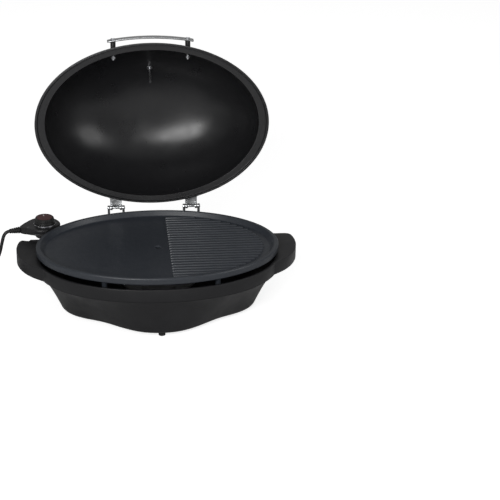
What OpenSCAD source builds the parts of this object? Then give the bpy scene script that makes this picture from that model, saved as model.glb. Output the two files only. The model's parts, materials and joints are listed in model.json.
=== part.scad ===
// Oval table-top grill: a deep base on four feet, a lift-out cooking plate with a cast-in
// heater, a plug-in heat control on a mains lead, and a domed lid on two rear hinges.
// X runs to the right, Y to the back and Z up from the table. The lid is modelled closed
// and then turned open about the hinge line.

/* [Cooking plate] */
// Length of the plate over its rim
plate_l = 490; // [470:1:510]
// Width of the plate from front to back over its rim
plate_w = 343; // [332:1:352]
// Height of the top of the rim over the table
rim_top = 137; // [133:1:150]
// Height of the rim's outer face
rim_h = 14; // [13:0.5:18]
// Width of the flat lip on top of the rim
rim_lip = 9; // [5:0.5:14]
// Run of the slope from the lip down to the cooking surface
rim_slope = 8; // [4:0.5:14]
// Depth of the cooking surface under the lip
well_d = 10; // [8:0.5:11]
// Thickness of the cooking surface
floor_t = 6; // [4:0.5:8]
// Distance between two ridges
ridge_pitch = 12; // [9:0.5:18]
// Width of a ridge at its foot
ridge_w = 5; // [3:0.5:8]
// Height of a ridge
ridge_h = 3.5; // [2:0.25:5]
// Gap between the ridges and the middle line of the plate
ridge_gap = 22; // [10:1:40]
// Diameter of the drain hole in the middle of the plate
drain_d = 12; // [8:1:16]
// Diameter of a foot under the plate
leg_d = 11; // [8:1:12]

/* [Heater] */
// Diameter of the heater tube
heater_d = 8; // [6:0.5:10]
// Distance between the two long runs of the heater
heater_w = 150; // [120:2:180]
// Length of the straight part of the heater
heater_run = 150; // [110:2:190]

/* [Base] */
// Length of the band's oval, hidden by the handles
band_l = 490; // [486:1:504]
// Width of the band's oval from front to back
band_w = 360; // [356:1:366]
// Height of the band and of the handles
band_h = 26.5; // [22:0.5:32]
// Height of the top of the band over the table
band_top = 116.5; // [112:0.5:120]
// Thickness of the base's walls
wall = 3.2; // [2.4:0.2:4]
// Width of the band's top edge inside the oval
band_lip = 5; // [4:0.5:8]
// Step in from the band to the bowl under it
bowl_step = 3; // [2:0.5:4]
// Length of the bowl's bottom outline
bottom_l = 394; // [380:2:406]
// Width of the bowl's bottom outline
bottom_w = 306; // [290:2:314]
// Width of the bottom outline across its slanting sides
bottom_waist = 292; // [280:1:304]
// Radius of the rounded lower edge of the bowl
bottom_r = 6; // [5:1:12]
// Depth of the ledge under the band that the heat shield hangs on
ledge_drop = 23; // [20:0.5:26]

/* [Handles] */
// Distance from end to end over both handles
handle_span = 572; // [562:1:584]
// Radius of the wide curve round a handle's front and end
handle_sweep = 126; // [116:1:136]
// Radius of a handle's back corner
handle_back_r = 14; // [8:1:24]
// Distance from the middle line to the back edge of a handle
handle_back = 78; // [70:1:82]
// Radius of the hollow curve between a handle and the band
handle_blend = 30; // [16:1:40]
// Thickness of a handle's top
shelf_t = 3.5; // [2.5:0.5:6]

/* [Feet] */
// Diameter of a foot
foot_d = 14; // [12:1:15]
// Height of a foot
foot_h = 8; // [6:0.5:12]
// Distance of the front and back feet from the middle
foot_y = 140; // [120:1:140]
// Distance of the side feet from the middle
foot_x = 166; // [140:1:168]

/* [Heat shield and drip tray] */
// Thickness of the heat shield's sheet
shield_t = 1.2; // [0.8:0.1:2]
// Clearance around the heat shield's rim
shield_gap = 2; // [1:0.5:4]
// Width of the heat shield's rim
shield_rim = 30; // [24:1:40]
// Depth of the heat shield
shield_d = 56; // [50:1:60]
// Diameter of the heat shield's floor
shield_floor = 320; // [280:2:340]
// Diameter of the drip tray
tray_d = 150; // [120:2:170]
// Height of the drip tray
tray_h = 20; // [14:1:24]
// Thickness of the drip tray's sheet
tray_t = 1.2; // [0.8:0.1:2]

/* [Lid] */
// Gap between the closed lid and the plate's rim
lid_gap = 0.3; // [0.2:0.1:1]
// Width of the lid's flange
flange_w = 19; // [16:1:24]
// Height of the lid's flange
flange_h = 9.5; // [8:0.5:12]
// Height of the dome over the flange
dome_h = 141; // [120:1:160]
// Thickness of the lid's sheet
lid_t = 2.2; // [1.6:0.2:3]
// Height of the pressed crown over the dome
crown_h = 3; // [2:0.5:5]
// Length of the pressed crown
crown_l = 182; // [150:2:220]
// Depth of the pressed crown from front to back
crown_w = 112; // [90:2:130]
// How far the lid opens in degrees
open_a = 95; // [92:1:105]

/* [Lid handle] */
// Length of the handle strap
strap_l = 180; // [150:2:200]
// Height of the handle strap
strap_h = 21; // [16:1:26]
// Thickness of the handle strap
strap_t = 3; // [2:0.5:4]
// Distance of the strap's middle in front of the lid's middle
strap_y = 174; // [170:1:182]
// Height of the strap's middle over the lid's lower edge
strap_z = 54; // [48:1:60]
// Radius of the strap's curve
strap_r = 520; // [420:10:700]
// Distance between the handle's two screws
post_span = 156; // [120:2:160]
// Diameter of a handle post
post_d = 11; // [9:0.5:14]
// Diameter of the handle's screws
screw_d = 5; // [4:0.5:6]

/* [Thermometer] */
// Diameter of the thermometer's bezel
gauge_d = 60; // [50:1:66]
// Height of the thermometer's bezel
gauge_h = 7; // [6:0.5:9]
// Width of the bezel's ring
bezel_w = 3; // [2:0.5:4]
// Distance of the thermometer in front of the lid's middle
gauge_y = 98; // [90:1:106]
// Diameter of the thermometer's stem
stem_d = 5; // [4:0.5:6]
// Length of the stem inside the lid
stem_l = 50; // [40:1:60]

/* [Hinges] */
// Distance between the two hinges
hinge_span = 160; // [140:2:180]
// Distance of the hinge line behind the middle
hinge_y = 181; // [179:0.5:184]
// Height of the hinge line over the table
hinge_z = 140; // [139:0.5:142]
// Outer diameter of a hinge knuckle
knuckle_d = 10; // [9:0.5:11]
// Diameter of a hinge pin
pin_d = 5; // [4:0.5:5.5]
// Clearance around a hinge pin
pin_gap = 0.05; // [0.02:0.01:0.1]
// Width of a hinge's tongue
tongue_w = 25; // [22:1:27]
// Thickness of a hinge's tongue
tongue_t = 2.5; // [2:0.25:3]
// Thickness of a hinge's ear and arm
ear_t = 5; // [4:0.5:6]
// Clearance between an ear and an arm
ear_gap = 0.5; // [0.3:0.1:1]

/* [Heat control] */
// Angle between the control's axis and the X axis
control_a = 14; // [10:1:18]
// Gap between the plate's rim and the middle of the knob, to the left
control_out = 39; // [38:1:46]
// Distance of the knob behind the middle
control_y = 108; // [104:1:114]
// Depth of the probe under the cooking plate
probe_drop = 4.5; // [4.25:0.25:5]
// Width of the control's case
case_w = 72; // [66:1:76]
// Height of the control's case
case_h = 27; // [24:1:30]
// Distance from the knob to the case's tail
case_tail = 42; // [36:1:50]
// Thickness of the case's wall
case_t = 2.2; // [1.6:0.2:3]
// Diameter of the probe
probe_d = 5; // [4:0.5:6]
// Distance between the two contacts beside the probe
contact_span = 26; // [22:1:30]
// Diameter of the knob
knob_d = 42; // [36:1:44]
// Height of the knob
knob_h = 12; // [9:0.5:16]
// Diameter of the knob's shaft
shaft_d = 6; // [5:0.5:8]

/* [Mains lead] */
// Diameter of the mains lead
cord_d = 7; // [6:0.5:8]
// Turns in one layer of the coil
coil_turns = 3; // [2:1:3]
// Radius of the coil's outermost turn
coil_r = 50; // [48:1:54]
// Distance between neighbouring turns beyond the lead's diameter
coil_gap = 0.6; // [0.5:0.1:1]
// Length of the plug's body
plug_l = 38; // [32:1:44]
// Width of the plug's body
plug_w = 30; // [26:1:34]
// Thickness of the plug's body
plug_t = 24; // [22:1:28]

/* [Hidden] */
$fn = 48;

// Small shared sizes
tiny = 0.01;
over = 1;
around = 72;
oval = plate_w / plate_l;
fit = 0.05;

// Plate
plate_r = plate_l / 2;
rim_low = rim_top - rim_h;
cook_z = rim_top - well_d;
under_z = cook_z - floor_t;
rim_chamfer = 1.5;
leg_angle = 60;
leg_in = 17;

// Base
band_low = band_top - band_h;
bowl_a = band_l / 2 - bowl_step;
bowl_b = band_w / 2 - bowl_step;
mouth_a = band_l / 2 - band_lip;
mouth_b = band_w / 2 - band_lip;
ledge_z = band_top - ledge_drop;
neck_gap = 0.4;
end_swell = 30;
front_swell = 26;
fullness = 2.15;
handle_mid = 36;
foot_places = [[0, -foot_y], [0, foot_y], [-foot_x, 0], [foot_x, 0]];
foot_screw_d = 3.5;
foot_head_d = 6.4;
foot_edge = 1;
foot_head_h = 2.2;

// Heat shield
shield_a = mouth_a - shield_gap;
shield_b = mouth_b - shield_gap;
shield_oval = shield_b / shield_a;
shield_top = ledge_z + shield_t;
shield_low = shield_top - shield_d;
tray_z = shield_low + shield_t + 0.2;
tray_lip = 5;

// Lid
lid_z = rim_top + lid_gap;
dome_r = plate_r - flange_w;
dome_foot = flange_h - 2.5;
dome_flat = 2.8;
dome_power = 0.606;
nut_h = 0.8 * screw_d;

// Hinges
hinge_places = [-hinge_span / 2, hinge_span / 2];
arm_out = tongue_w / 2;
ear_in = arm_out + ear_gap;
ear_out = ear_in + ear_t;
tongue_z = lid_z + flange_h + 1.6;
tongue_in = 10;
socket_wall = 1.4;
socket_w = tongue_w + 2 * socket_wall + 0.6;
socket_tab = 7;
mount_rivet_in = 3.5;
socket_tab_w = 8;
socket_base_z = lid_z + flange_h - 0.5;
rivet_d = 4;
rivet_in = 8;
rivet_out = socket_w / 2 + socket_tab / 2;

// Heat control
control_x = control_out + plate_r * sqrt(1 - pow(2 * control_y / plate_w, 2));
probe_z = under_z - probe_drop;
case_low = probe_z - 4.5;
case_top = case_low + case_h;
case_split = case_low + case_h / 2;
body_low = case_low + 8;
nose_w = 40;
nose_end = control_out + 11;
control_travel = 32;
nose_top = under_z - 0.5;
lamp_x = 5 - case_tail;
lamp_y = -10;
case_foot_d = 50;
case_side = 8;
case_back = 4;
tail_d = 22;
tail_h = 12;
relief_d = 8.6;
socket_in = nose_end + 0.5;
socket_l = 22;
notch_end = socket_in + socket_l + 12;
socket_ear = 14;
socket_ear_t = 3.5;
socket_screw_d = 3;
socket_screw_in = 5.5;
probe_in = 12.2;
probe_l = socket_in + socket_l + 1;
pin_dia = 5;
sleeve_d = 7.2;
sleeve_in = 14;
case_screw_d = 3;
case_screw_x = 8;
case_screw_y = 13;
ring_h = 2.5;
knob_z = case_top + ring_h + 0.3;
exit_x = -case_tail - 10;
exit_z = case_top - 7.5;

// Mains lead
cord_r = cord_d / 2;
coil_pitch = cord_d + coil_gap;
coil_x = -control_x - 189;
coil_y = control_y - 40;
cord_sides = 8;
cord_steps = 5;
coil_sides = 6;
coil_rings = 24;
// Where the lead runs, seen from the knob: out of the strain relief, down to the table and on
// to the coil
cord_route = [
    [-72, -18, 131.5], [-84, -21, 128.5], [-95, -23, 119], [-103, -23, 104], [-108, -22, 86],
    [-112, -20, 66], [-116, -18, 46], [-123, -14, 27], [-134, -8, 12], [-148, 0, 5],
    [-162, 6, 3.5], [-172, 9, 3.5], [-182, 10, 3.5]
];

// ---------------------------------------------------------------- shared shapes

// A closed skin over rings of points, with a flat cap on its first and last ring
module skin(rings) {
    n = len(rings[0]);
    m = len(rings);
    points = concat([for (r = rings) for (p = r) p], [middle(rings[0]), middle(rings[m - 1])]);
    sides = [for (j = [0:m - 2]) for (i = [0:n - 1])
        let (a = j * n + i, b = j * n + (i + 1) % n) each [[a, a + n, b], [b, a + n, b + n]]];
    low = [for (i = [0:n - 1]) [m * n, i, (i + 1) % n]];
    high = [for (i = [0:n - 1]) [m * n + 1, (m - 1) * n + (i + 1) % n, (m - 1) * n + i]];
    polyhedron(points, concat(low, sides, high), convexity = 10);
}

function middle(ring) = [for (k = [0:2]) sum([for (p = ring) p[k]]) / len(ring)];
function sum(list, i = 0) = i < len(list) ? list[i] + sum(list, i + 1) : 0;

// An upright oval prism
module oval_prism(a, b, h) {
    scale([1, b / a, 1])
        cylinder(r = a, h = h);
}

function turn(i) = i * 360 / around;
function full_r(t, a, b, n) = pow(pow(abs(cos(t)) / a, n) + pow(abs(sin(t)) / b, n), -1 / n);
function oval_r(t, a, b) = full_r(t, a, b, fullness);
// The bottom outline: a round waist with a wide swell at each end and at the front and back
function bottom_out(t) =
    let (q = asin(abs(sin(t))), waist = bottom_waist / 2)
    waist + (bottom_l / 2 - waist) * exp(-pow(q / end_swell, 3))
        + (bottom_w / 2 - waist) * exp(-pow((90 - q) / front_swell, 3));
function mix(a, b, t) = a + (b - a) * t;

// Distance from the middle of the bowl to its outer face, at a height and in a direction
function bowl_r(t, z) =
    let (s = min(1, max(0, (band_low - z) / (band_low - foot_h))))
    mix(oval_r(t, bowl_a, bowl_b), bottom_out(t), pow(s, 0.77));
function bowl_ring(z, inset) = [for (i = [0:around - 1])
    let (r = bowl_r(turn(i), z) - inset) [r * cos(turn(i)), r * sin(turn(i)), z]];
function oval_ring(a, b, z) = [for (i = [0:around - 1])
    let (r = oval_r(turn(i), a, b)) [r * cos(turn(i)), r * sin(turn(i)), z]];
// The rounded lower edge: how far it is drawn in at a height
function edge_in(z, low, r) = let (d = min(r, max(0, low + r - z))) r - sqrt(r * r - d * d);

// A round tube through a list of points, as one skin
function unit(v) = v / norm(v);
function smooth(p, n) = [for (i = [0:len(p) - 2]) for (k = [0:n - 1])
    let (a = p[max(0, i - 1)], b = p[i], c = p[i + 1], d = p[min(len(p) - 1, i + 2)], t = k / n)
    0.5 * (2 * b + (c - a) * t + (2 * a - 5 * b + 4 * c - d) * t * t
        + (3 * b - a - 3 * c + d) * t * t * t), p[len(p) - 1]];
module tube(path, r, sides, ref) {
    m = len(path);
    skin([for (i = [0:m - 1])
        let (t = unit(path[min(m - 1, i + 1)] - path[max(0, i - 1)]),
            u = unit(cross(ref, t)), v = cross(t, u))
        [for (k = [0:sides - 1])
            path[i] + r * (cos(k * 360 / sides) * u + sin(k * 360 / sides) * v)]]);
}

// ---------------------------------------------------------------- base

// An oval seen from above
module oval_plan(a, b) {
    polygon([for (i = [0:95]) let (t = i * 3.75, r = oval_r(t, a, b)) [r * cos(t), r * sin(t)]]);
}

// One handle seen from above, drawn in by a distance: a wide curve cut off straight at the back
module handle_plan(side, inset) {
    offset(r = handle_back_r - inset, $fn = 32)
        offset(delta = -handle_back_r)
            difference() {
                translate([side * (handle_span / 2 - handle_sweep), handle_mid])
                    circle(r = handle_sweep, $fn = 120);
                translate([-handle_span, handle_back])
                    square(2 * handle_span);
            }
}

module band_plan() {
    difference() {
        offset(r = -handle_blend)
            offset(r = handle_blend) {
                oval_plan(band_l / 2, band_w / 2);
                handle_plan(-1, 0);
                handle_plan(1, 0);
            }
        oval_plan(mouth_a, mouth_b);
    }
}

// The band and its handles, each handle hollow from below for the fingers
module band_form() {
    difference() {
        translate([0, 0, band_low])
            linear_extrude(band_h)
                band_plan();
        translate([0, 0, band_low - over])
            linear_extrude(band_h - shelf_t + over)
                for (side = [-1, 1])
                    difference() {
                        handle_plan(side, wall);
                        oval_plan(band_l / 2 + wall, band_w / 2 + wall);
                    }
    }
}

// The bowl as one wall: the band rests on its shoulder, around a neck that carries the shield
module bowl_shell() {
    low = foot_h;
    outer = [for (k = [0, 0.1, 0.3, 0.6, 1]) low + bottom_r * k];
    inner = [for (k = [1, 0.6, 0.3, 0.1, 0]) low + wall + (bottom_r - wall) * k];
    waist = [for (k = [0.3, 0.6, 0.85]) mix(low + bottom_r, band_low, k)];
    neck_a = mouth_a - neck_gap;
    neck_b = mouth_b - neck_gap;
    skin(concat(
        [for (z = concat(outer, waist, [band_low])) bowl_ring(z, edge_in(z, low, bottom_r))],
        [oval_ring(neck_a, neck_b, band_low), oval_ring(neck_a, neck_b, ledge_z),
            oval_ring(bowl_a - 2 * wall, bowl_b - 2 * wall, ledge_z)],
        [for (z = concat([band_low - 6, waist[1], waist[0]], inner))
            bowl_ring(z, wall + edge_in(z, low + wall, bottom_r - wall))]));
}

module base_bowl() {
    color("#1d1d1e")
        difference() {
            bowl_shell();
            for (p = foot_places)
                translate([p[0], p[1], 0])
                    cylinder(d = foot_screw_d + 2 * fit, h = foot_h + wall + over);
        }
}

module base_band() {
    color("#1d1d1e")
        difference() {
            band_form();
            at_control()
                translate([-nose_w / 2 - control_travel, -nose_w / 2 - 2, case_low - 1])
                    cube([notch_end + nose_w / 2 + control_travel, nose_w + 4, case_h]);
        }
}

module foot(i) {
    color("#151515")
        translate([foot_places[i][0], foot_places[i][1], 0])
            difference() {
                rotate_extrude()
                    polygon([[0, 0], [foot_d / 2 - foot_edge, 0], [foot_d / 2, foot_edge],
                        [foot_d / 2, foot_h - 0.05], [0, foot_h - 0.05]]);
                translate([0, 0, -over])
                    cylinder(d = foot_head_d + 0.4, h = foot_head_h + 0.8 + over);
                cylinder(d = foot_screw_d + 2 * fit, h = foot_h + over);
            }
}

module foot_screws() {
    color("#b9bbbe")
        for (p = foot_places)
            translate([p[0], p[1], 0.8]) {
                cylinder(d = foot_head_d, h = foot_head_h);
                cylinder(d = foot_screw_d, h = foot_h + wall + 1);
            }
}

// A thin dish with a wide rim, as one wall
module heat_shield() {
    r0 = shield_floor / 2;
    r1 = shield_a - shield_rim;
    k = shield_oval;
    color("#c3c5c7")
        skin([for (p = [[20, shield_low], [r0, shield_low], [r1 + shield_t, ledge_z], [shield_a, ledge_z],
                [shield_a, shield_top], [r1, shield_top], [r0 - shield_t, shield_low + shield_t],
                [20, shield_low + shield_t]])
            oval_ring(p[0], p[0] * k, p[1])]);
}

module drip_tray() {
    r = tray_d / 2;
    color("#aeb1b5")
        translate([0, 0, tray_z])
            rotate_extrude($fn = 96)
                polygon([[0, 0], [r - 8, 0], [r, tray_h - tray_t], [r + tray_lip, tray_h - tray_t],
                    [r + tray_lip, tray_h], [r - tray_t, tray_h], [r - 8 - tray_t, tray_t],
                    [0, tray_t]]);
}

// ---------------------------------------------------------------- hinges

module hinge_mount(x) {
    ear_h = knuckle_d / 2;
    plate_y = hinge_y + knuckle_d / 2;
    plate_low = band_low + 5;
    mount_y = 0.9 * band_w / 2;
    color("#c9cbce")
        translate([x, 0, 0])
            difference() {
                union() {
                    difference() {
                        translate([-ear_out, mount_y, plate_low])
                            cube([2 * ear_out, plate_y - mount_y, band_top - plate_low - 2]);
                        translate([-x, 0, 0])
                            linear_extrude(band_top)
                                oval_plan(band_l / 2 - 1, band_w / 2 - 1);
                    }
                    for (side = [-1, 1])
                        translate([side * (ear_in + ear_t / 2), 0, 0]) {
                            translate([-ear_t / 2, hinge_y - ear_h, band_top - 12])
                                cube([ear_t, knuckle_d, hinge_z - band_top + 12]);
                            translate([-ear_t / 2, hinge_y, hinge_z])
                                rotate([0, 90, 0])
                                    cylinder(d = knuckle_d, h = ear_t);
                        }
                }
                translate([-ear_out - over, hinge_y, hinge_z])
                    rotate([0, 90, 0])
                        cylinder(d = pin_d, h = 2 * ear_out + 2 * over);
                for (side = [-1, 1])
                    translate([side * (ear_in + ear_t / 2), mount_y, band_low + band_h / 2])
                        rotate([-90, 0, 0])
                            cylinder(d = rivet_d, h = 5 * knuckle_d);
            }
}

module hinge_pin(x) {
    color("#dfe1e3")
        translate([x - ear_out - 1, hinge_y, hinge_z])
            rotate([0, 90, 0])
                cylinder(d = pin_d, h = 2 * ear_out + 2);
}

// Back of the band's oval at a distance from the middle line
function band_back(x) = band_w / 2 * pow(1 - pow(2 * abs(x) / band_l, fullness), 1 / fullness);

// The rivets of the two mounts, each let into the band's wall
module mount_rivets() {
    plate_y = hinge_y + knuckle_d / 2;
    color("#dfe1e3")
        for (x = hinge_places) for (side = [-1, 1])
            let (place = x + side * (ear_in + ear_t / 2), y = band_back(place) - mount_rivet_in)
            translate([place, y, band_low + band_h / 2])
                rotate([-90, 0, 0]) {
                    cylinder(d = rivet_d, h = plate_y - y);
                    translate([0, 0, plate_y - y])
                        cylinder(d = 1.8 * rivet_d, h = 0.35 * rivet_d);
                }
}

// Turns the closed lid open about the hinge line
module opened() {
    translate([0, hinge_y, hinge_z])
        rotate([-open_a, 0, 0])
            translate([0, -hinge_y, -hinge_z])
                children();
}

// Back edge of the closed lid's flange at a distance from the middle line
function flange_back(x) = plate_w / 2 * sqrt(1 - pow(x / plate_r, 2));
function tongue_end() = flange_back(hinge_span / 2) - tongue_in + 1.5;

module hinge_leaf(x) {
    tip = tongue_end();
    color("#c9cbce")
        opened()
            translate([x, 0, 0])
                difference() {
                    union() {
                        translate([-tongue_w / 2, tip, tongue_z])
                            cube([tongue_w, hinge_y + knuckle_d / 2 - tip, tongue_t]);
                        for (side = [-1, 1])
                            translate([side * (arm_out - ear_t / 2) - ear_t / 2, 0, 0]) {
                                translate([0, hinge_y - knuckle_d / 2, hinge_z])
                                    cube([ear_t, knuckle_d, tongue_z - hinge_z + tongue_t]);
                                translate([0, hinge_y, hinge_z])
                                    rotate([0, 90, 0])
                                        cylinder(d = knuckle_d, h = ear_t);
                            }
                    }
                    translate([-arm_out - over, hinge_y, hinge_z])
                        rotate([0, 90, 0])
                            cylinder(d = pin_d + 2 * pin_gap, h = 2 * arm_out + 2 * over);
                }
}

// ---------------------------------------------------------------- plate and heater

module grill_plate() {
    r = plate_r;
    c = rim_chamfer;
    well_r = r - rim_lip - rim_slope;
    color("#2b2d31")
        difference() {
            union() {
                scale([1, oval, 1])
                    rotate_extrude($fn = 120)
                        polygon([[0, under_z], [well_r, under_z], [r - rim_lip, rim_low],
                            [r - c, rim_low], [r, rim_low + c], [r, rim_top - c], [r - c, rim_top],
                            [r - rim_lip, rim_top], [well_r, cook_z], [0, cook_z]]);
                ridges();
                for (a = [leg_angle, 180 - leg_angle, 180 + leg_angle, -leg_angle])
                    translate([leg_x(a), leg_y(a), shield_top])
                        cylinder(d = leg_d, h = cook_z - 1 - shield_top);
            }
            translate([0, 0, under_z - over])
                cylinder(d = drain_d, h = floor_t + 2 * over);
            at_control()
                socket_screw_places(under_z - over)
                    cylinder(d = socket_screw_d, h = floor_t - 2 + over);
        }
}

function leg_x(a) = (shield_a - leg_in) * cos(a);
function leg_y(a) = (shield_a - leg_in) * shield_oval * sin(a);

module ridges() {
    well_r = plate_r - rim_lip - rim_slope;
    rows = floor((well_r * oval - ridge_pitch) / ridge_pitch);
    for (k = [-rows:rows]) {
        y = k * ridge_pitch;
        x1 = (well_r - 8) * sqrt(1 - pow(y / (well_r * oval - 2), 2)) - 4;
        if (x1 > ridge_gap + ridge_pitch)
            translate([ridge_gap, y, cook_z - 1])
                rotate([90, 0, 90])
                    linear_extrude(x1 - ridge_gap)
                        polygon([[-ridge_w / 2, 0], [ridge_w / 2, 0], [ridge_w / 2 - 1, ridge_h + 1],
                            [1 - ridge_w / 2, ridge_h + 1]]);
    }
}

// A place in the control's own frame, seen from the middle of the grill
function from_control(x, y) = [-control_x + x * cos(control_a) - y * sin(control_a),
    control_y + x * sin(control_a) + y * cos(control_a)];

// One bent tube under the plate, with its two ends led to the pins of the probe socket
module heating_element() {
    z = under_z - heater_d / 2 + 1;
    r = heater_w / 2;
    x = heater_run / 2;
    open = 26;
    steps = 12;
    ends = [for (side = [1, -1])
        let (p = from_control(socket_in + socket_l + 3, side * contact_span / 2)) [p[0], p[1], z]];
    color("#8d8f93")
        tube(concat(
            [ends[0]],
            [for (k = [0:4]) [mix(-x, x, k / 4), r, z]],
            [for (k = [1:steps]) let (a = 90 - 180 * k / steps) [x + r * cos(a), r * sin(a), z]],
            [for (k = [0:4]) [mix(x, -x, (k + 0.5) / 4.5), -r, z]],
            [for (k = [1:steps]) let (a = 270 - (180 - open) * k / steps)
                [-x + r * cos(a), r * sin(a), z]],
            [ends[1]]), heater_d / 2, 8, [0, 0, 1]);
}

// ---------------------------------------------------------------- heat control

// The control's own frame: X along the probe into the plate, with the knob at zero
module at_control() {
    translate([-control_x, control_y, 0])
        rotate([0, 0, control_a])
            children();
}

// The two screws of the probe socket, in the ear beside it
module socket_screw_places(z) {
    for (x = [socket_screw_in, socket_l - socket_screw_in])
        translate([socket_in + x, -nose_w / 2 - socket_ear / 2, z])
            children();
}

module probe_socket() {
    color("#3a3b3d")
        at_control()
            difference() {
                union() {
                    translate([socket_in, -nose_w / 2, case_low])
                        cube([socket_l, nose_w, under_z - case_low]);
                    translate([socket_in, -nose_w / 2 - socket_ear, under_z - socket_ear_t])
                        cube([socket_l, socket_ear + over, socket_ear_t]);
                }
                translate([socket_in - over, 0, probe_z])
                    rotate([0, 90, 0])
                        cylinder(d = probe_d + 1, h = socket_l + 2 * over);
                for (side = [-1, 1]) {
                    translate([socket_in - over, side * contact_span / 2, probe_z])
                        rotate([0, 90, 0])
                            cylinder(d = sleeve_d + 0.8, h = 14 + over);
                    translate([socket_in, side * contact_span / 2, probe_z])
                        rotate([0, 90, 0])
                            cylinder(d = pin_dia, h = socket_l + over);
                }
                socket_screw_places(case_low)
                    cylinder(d = socket_screw_d, h = case_h);
            }
}

module terminal_pins() {
    color("#d4d6d8")
        at_control()
            for (side = [-1, 1])
                translate([socket_in + 1, side * contact_span / 2, probe_z])
                    rotate([0, 90, 0])
                        cylinder(d = pin_dia, h = socket_l + 3);
}

module socket_screws() {
    head_h = 0.5 * socket_screw_d;
    color("#b9bbbe")
        at_control()
            socket_screw_places(under_z - socket_ear_t - head_h) {
                cylinder(d = 1.9 * socket_screw_d, h = head_h - tiny);
                cylinder(d = socket_screw_d - 2 * fit, h = head_h + socket_ear_t + floor_t - 2.5);
            }
}

// The case as one solid, drawn in by a distance: a round body that tapers to the lead, with a
// flat nose under it that reaches below the plate's rim
module case_solid(inset) {
    difference() {
        union() {
            hull() {
                translate([-case_back, 0, case_top - case_side + inset])
                    cylinder(d = case_w - 2 * inset, h = case_side - 2 * inset, $fn = 48);
                translate([0, 0, body_low + inset])
                    cylinder(d = case_foot_d - 2 * inset, h = case_side, $fn = 48);
                translate([-case_tail, 0, exit_z - tail_h / 2 + inset])
                    cylinder(d = tail_d - 2 * inset, h = tail_h - 2 * inset, $fn = 32);
            }
            translate([0, 0, case_low + inset])
                cylinder(d = nose_w - 2 * inset, h = body_low - case_low + 1);
            translate([0, -nose_w / 2 + inset, case_low + inset])
                cube([nose_end - inset, nose_w - 2 * inset, nose_top - case_low - 2 * inset]);
        }
        rotate([0, 0, -control_a])
            translate([control_x, -control_y, nose_top - inset])
                oval_prism(plate_r + 1.5 + inset, plate_w / 2 + 1.5 + inset, case_h);
    }
}

// The hollow case between two heights
module case_wall(low, high) {
    difference() {
        intersection() {
            case_solid(0);
            translate([-2 * case_w, -case_w, low])
                cube([4 * case_w, 2 * case_w, high - low]);
        }
        case_solid(case_t);
    }
}

module control_base() {
    color("#17181a")
        at_control()
            difference() {
                case_wall(case_low, case_split);
                nose_holes();
                control_screw_places()
                    cylinder(d = case_screw_d + 2 * fit, h = case_h, center = true);
            }
}

module control_cover() {
    color("#17181a")
        at_control()
            difference() {
                case_wall(case_split + tiny, case_top);
                translate([0, 0, case_split])
                    cylinder(d = shaft_d + 2 * fit, h = case_h);
                translate([lamp_x, lamp_y, case_split])
                    cylinder(d = 5 + 2 * fit, h = case_h);
                relief_bore();
            }
}

module nose_holes() {
    translate([0, 0, probe_z])
        rotate([0, 90, 0])
            cylinder(d = probe_d + 2 * fit, h = nose_end + over);
    for (side = [-1, 1])
        translate([0, side * contact_span / 2, probe_z])
            rotate([0, 90, 0])
                cylinder(d = sleeve_d + 2 * fit, h = nose_end + over);
}

// Two screws in the nose's floor and one in the body's
module control_screw_places() {
    for (p = [[case_screw_x, case_screw_y, case_low], [case_screw_x, -case_screw_y, case_low],
            [-nose_w / 2 - 2, 0, body_low]])
        translate(p)
            children();
}

module control_screws() {
    color("#b9bbbe")
        at_control()
            control_screw_places()
                cylinder(d = case_screw_d, h = case_t + 3.5);
}

module thermostat_switch() {
    color("#d8cfb8")
        at_control()
            translate([-14, -10, case_low + case_t + 0.1])
                cube([26, 20, case_h / 2 - case_t - 1]);
}

module probe_rod() {
    color("#c3c6c9")
        at_control()
            translate([probe_in, 0, probe_z])
                rotate([0, 90, 0]) {
                    cylinder(d = probe_d, h = probe_l - probe_in);
                    translate([0, 0, probe_l - probe_in])
                        sphere(d = probe_d);
                }
}

module contact_sleeves() {
    color("#b98a4a")
        at_control()
            for (side = [-1, 1])
                translate([sleeve_in, side * contact_span / 2, probe_z])
                    rotate([0, 90, 0])
                        difference() {
                            cylinder(d = sleeve_d, h = socket_in - sleeve_in + 12);
                            translate([0, 0, 4])
                                cylinder(d = pin_dia + 2 * fit, h = socket_in);
                        }
}

module dial_ring() {
    color("#a9abae")
        at_control()
            translate([0, 0, case_top])
                difference() {
                    rotate_extrude()
                        polygon([[0, 0], [knob_d / 2 + 2.5, 0], [knob_d / 2 + 1, ring_h], [0, ring_h]]);
                    translate([0, 0, -over])
                        cylinder(d = shaft_d + 2 * fit, h = ring_h + 2 * over);
                }
}

module lamp_lens() {
    color("#d9dcdf")
        at_control()
            translate([lamp_x, lamp_y, case_top - case_t - 1.6]) {
                cylinder(d = 5, h = case_t + 2);
                translate([0, 0, -1])
                    cylinder(d = 7, h = 1);
            }
}

module knob() {
    r = knob_d / 2;
    color("#141414")
        at_control() {
            translate([0, 0, knob_z])
                difference() {
                    rotate_extrude()
                        polygon([[0, 0], [r, 0], [r, 2], [r - 1, 3], [r - 1.5, knob_h - 1.5],
                            [r - 3, knob_h], [0, knob_h]]);
                    translate([0, 0, knob_h - 1])
                        cylinder(d = knob_d - 9, h = 2);
                }
            translate([0, 0, case_split + 3])
                cylinder(d = shaft_d, h = knob_z - case_split - 2);
        }
}

module knob_cap() {
    color("#7c3a35")
        at_control()
            translate([0, 0, knob_z + knob_h - 1])
                difference() {
                    cylinder(d = knob_d - 9, h = 1.2);
                    translate([-0.8, knob_d / 2 - 13, 0.6])
                        cube([1.6, 8, 2]);
                }
}

module relief_bore() {
    translate([exit_x - over, 0, exit_z])
        rotate([0, 90, 0])
            cylinder(d = relief_d, h = 14);
}

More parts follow.
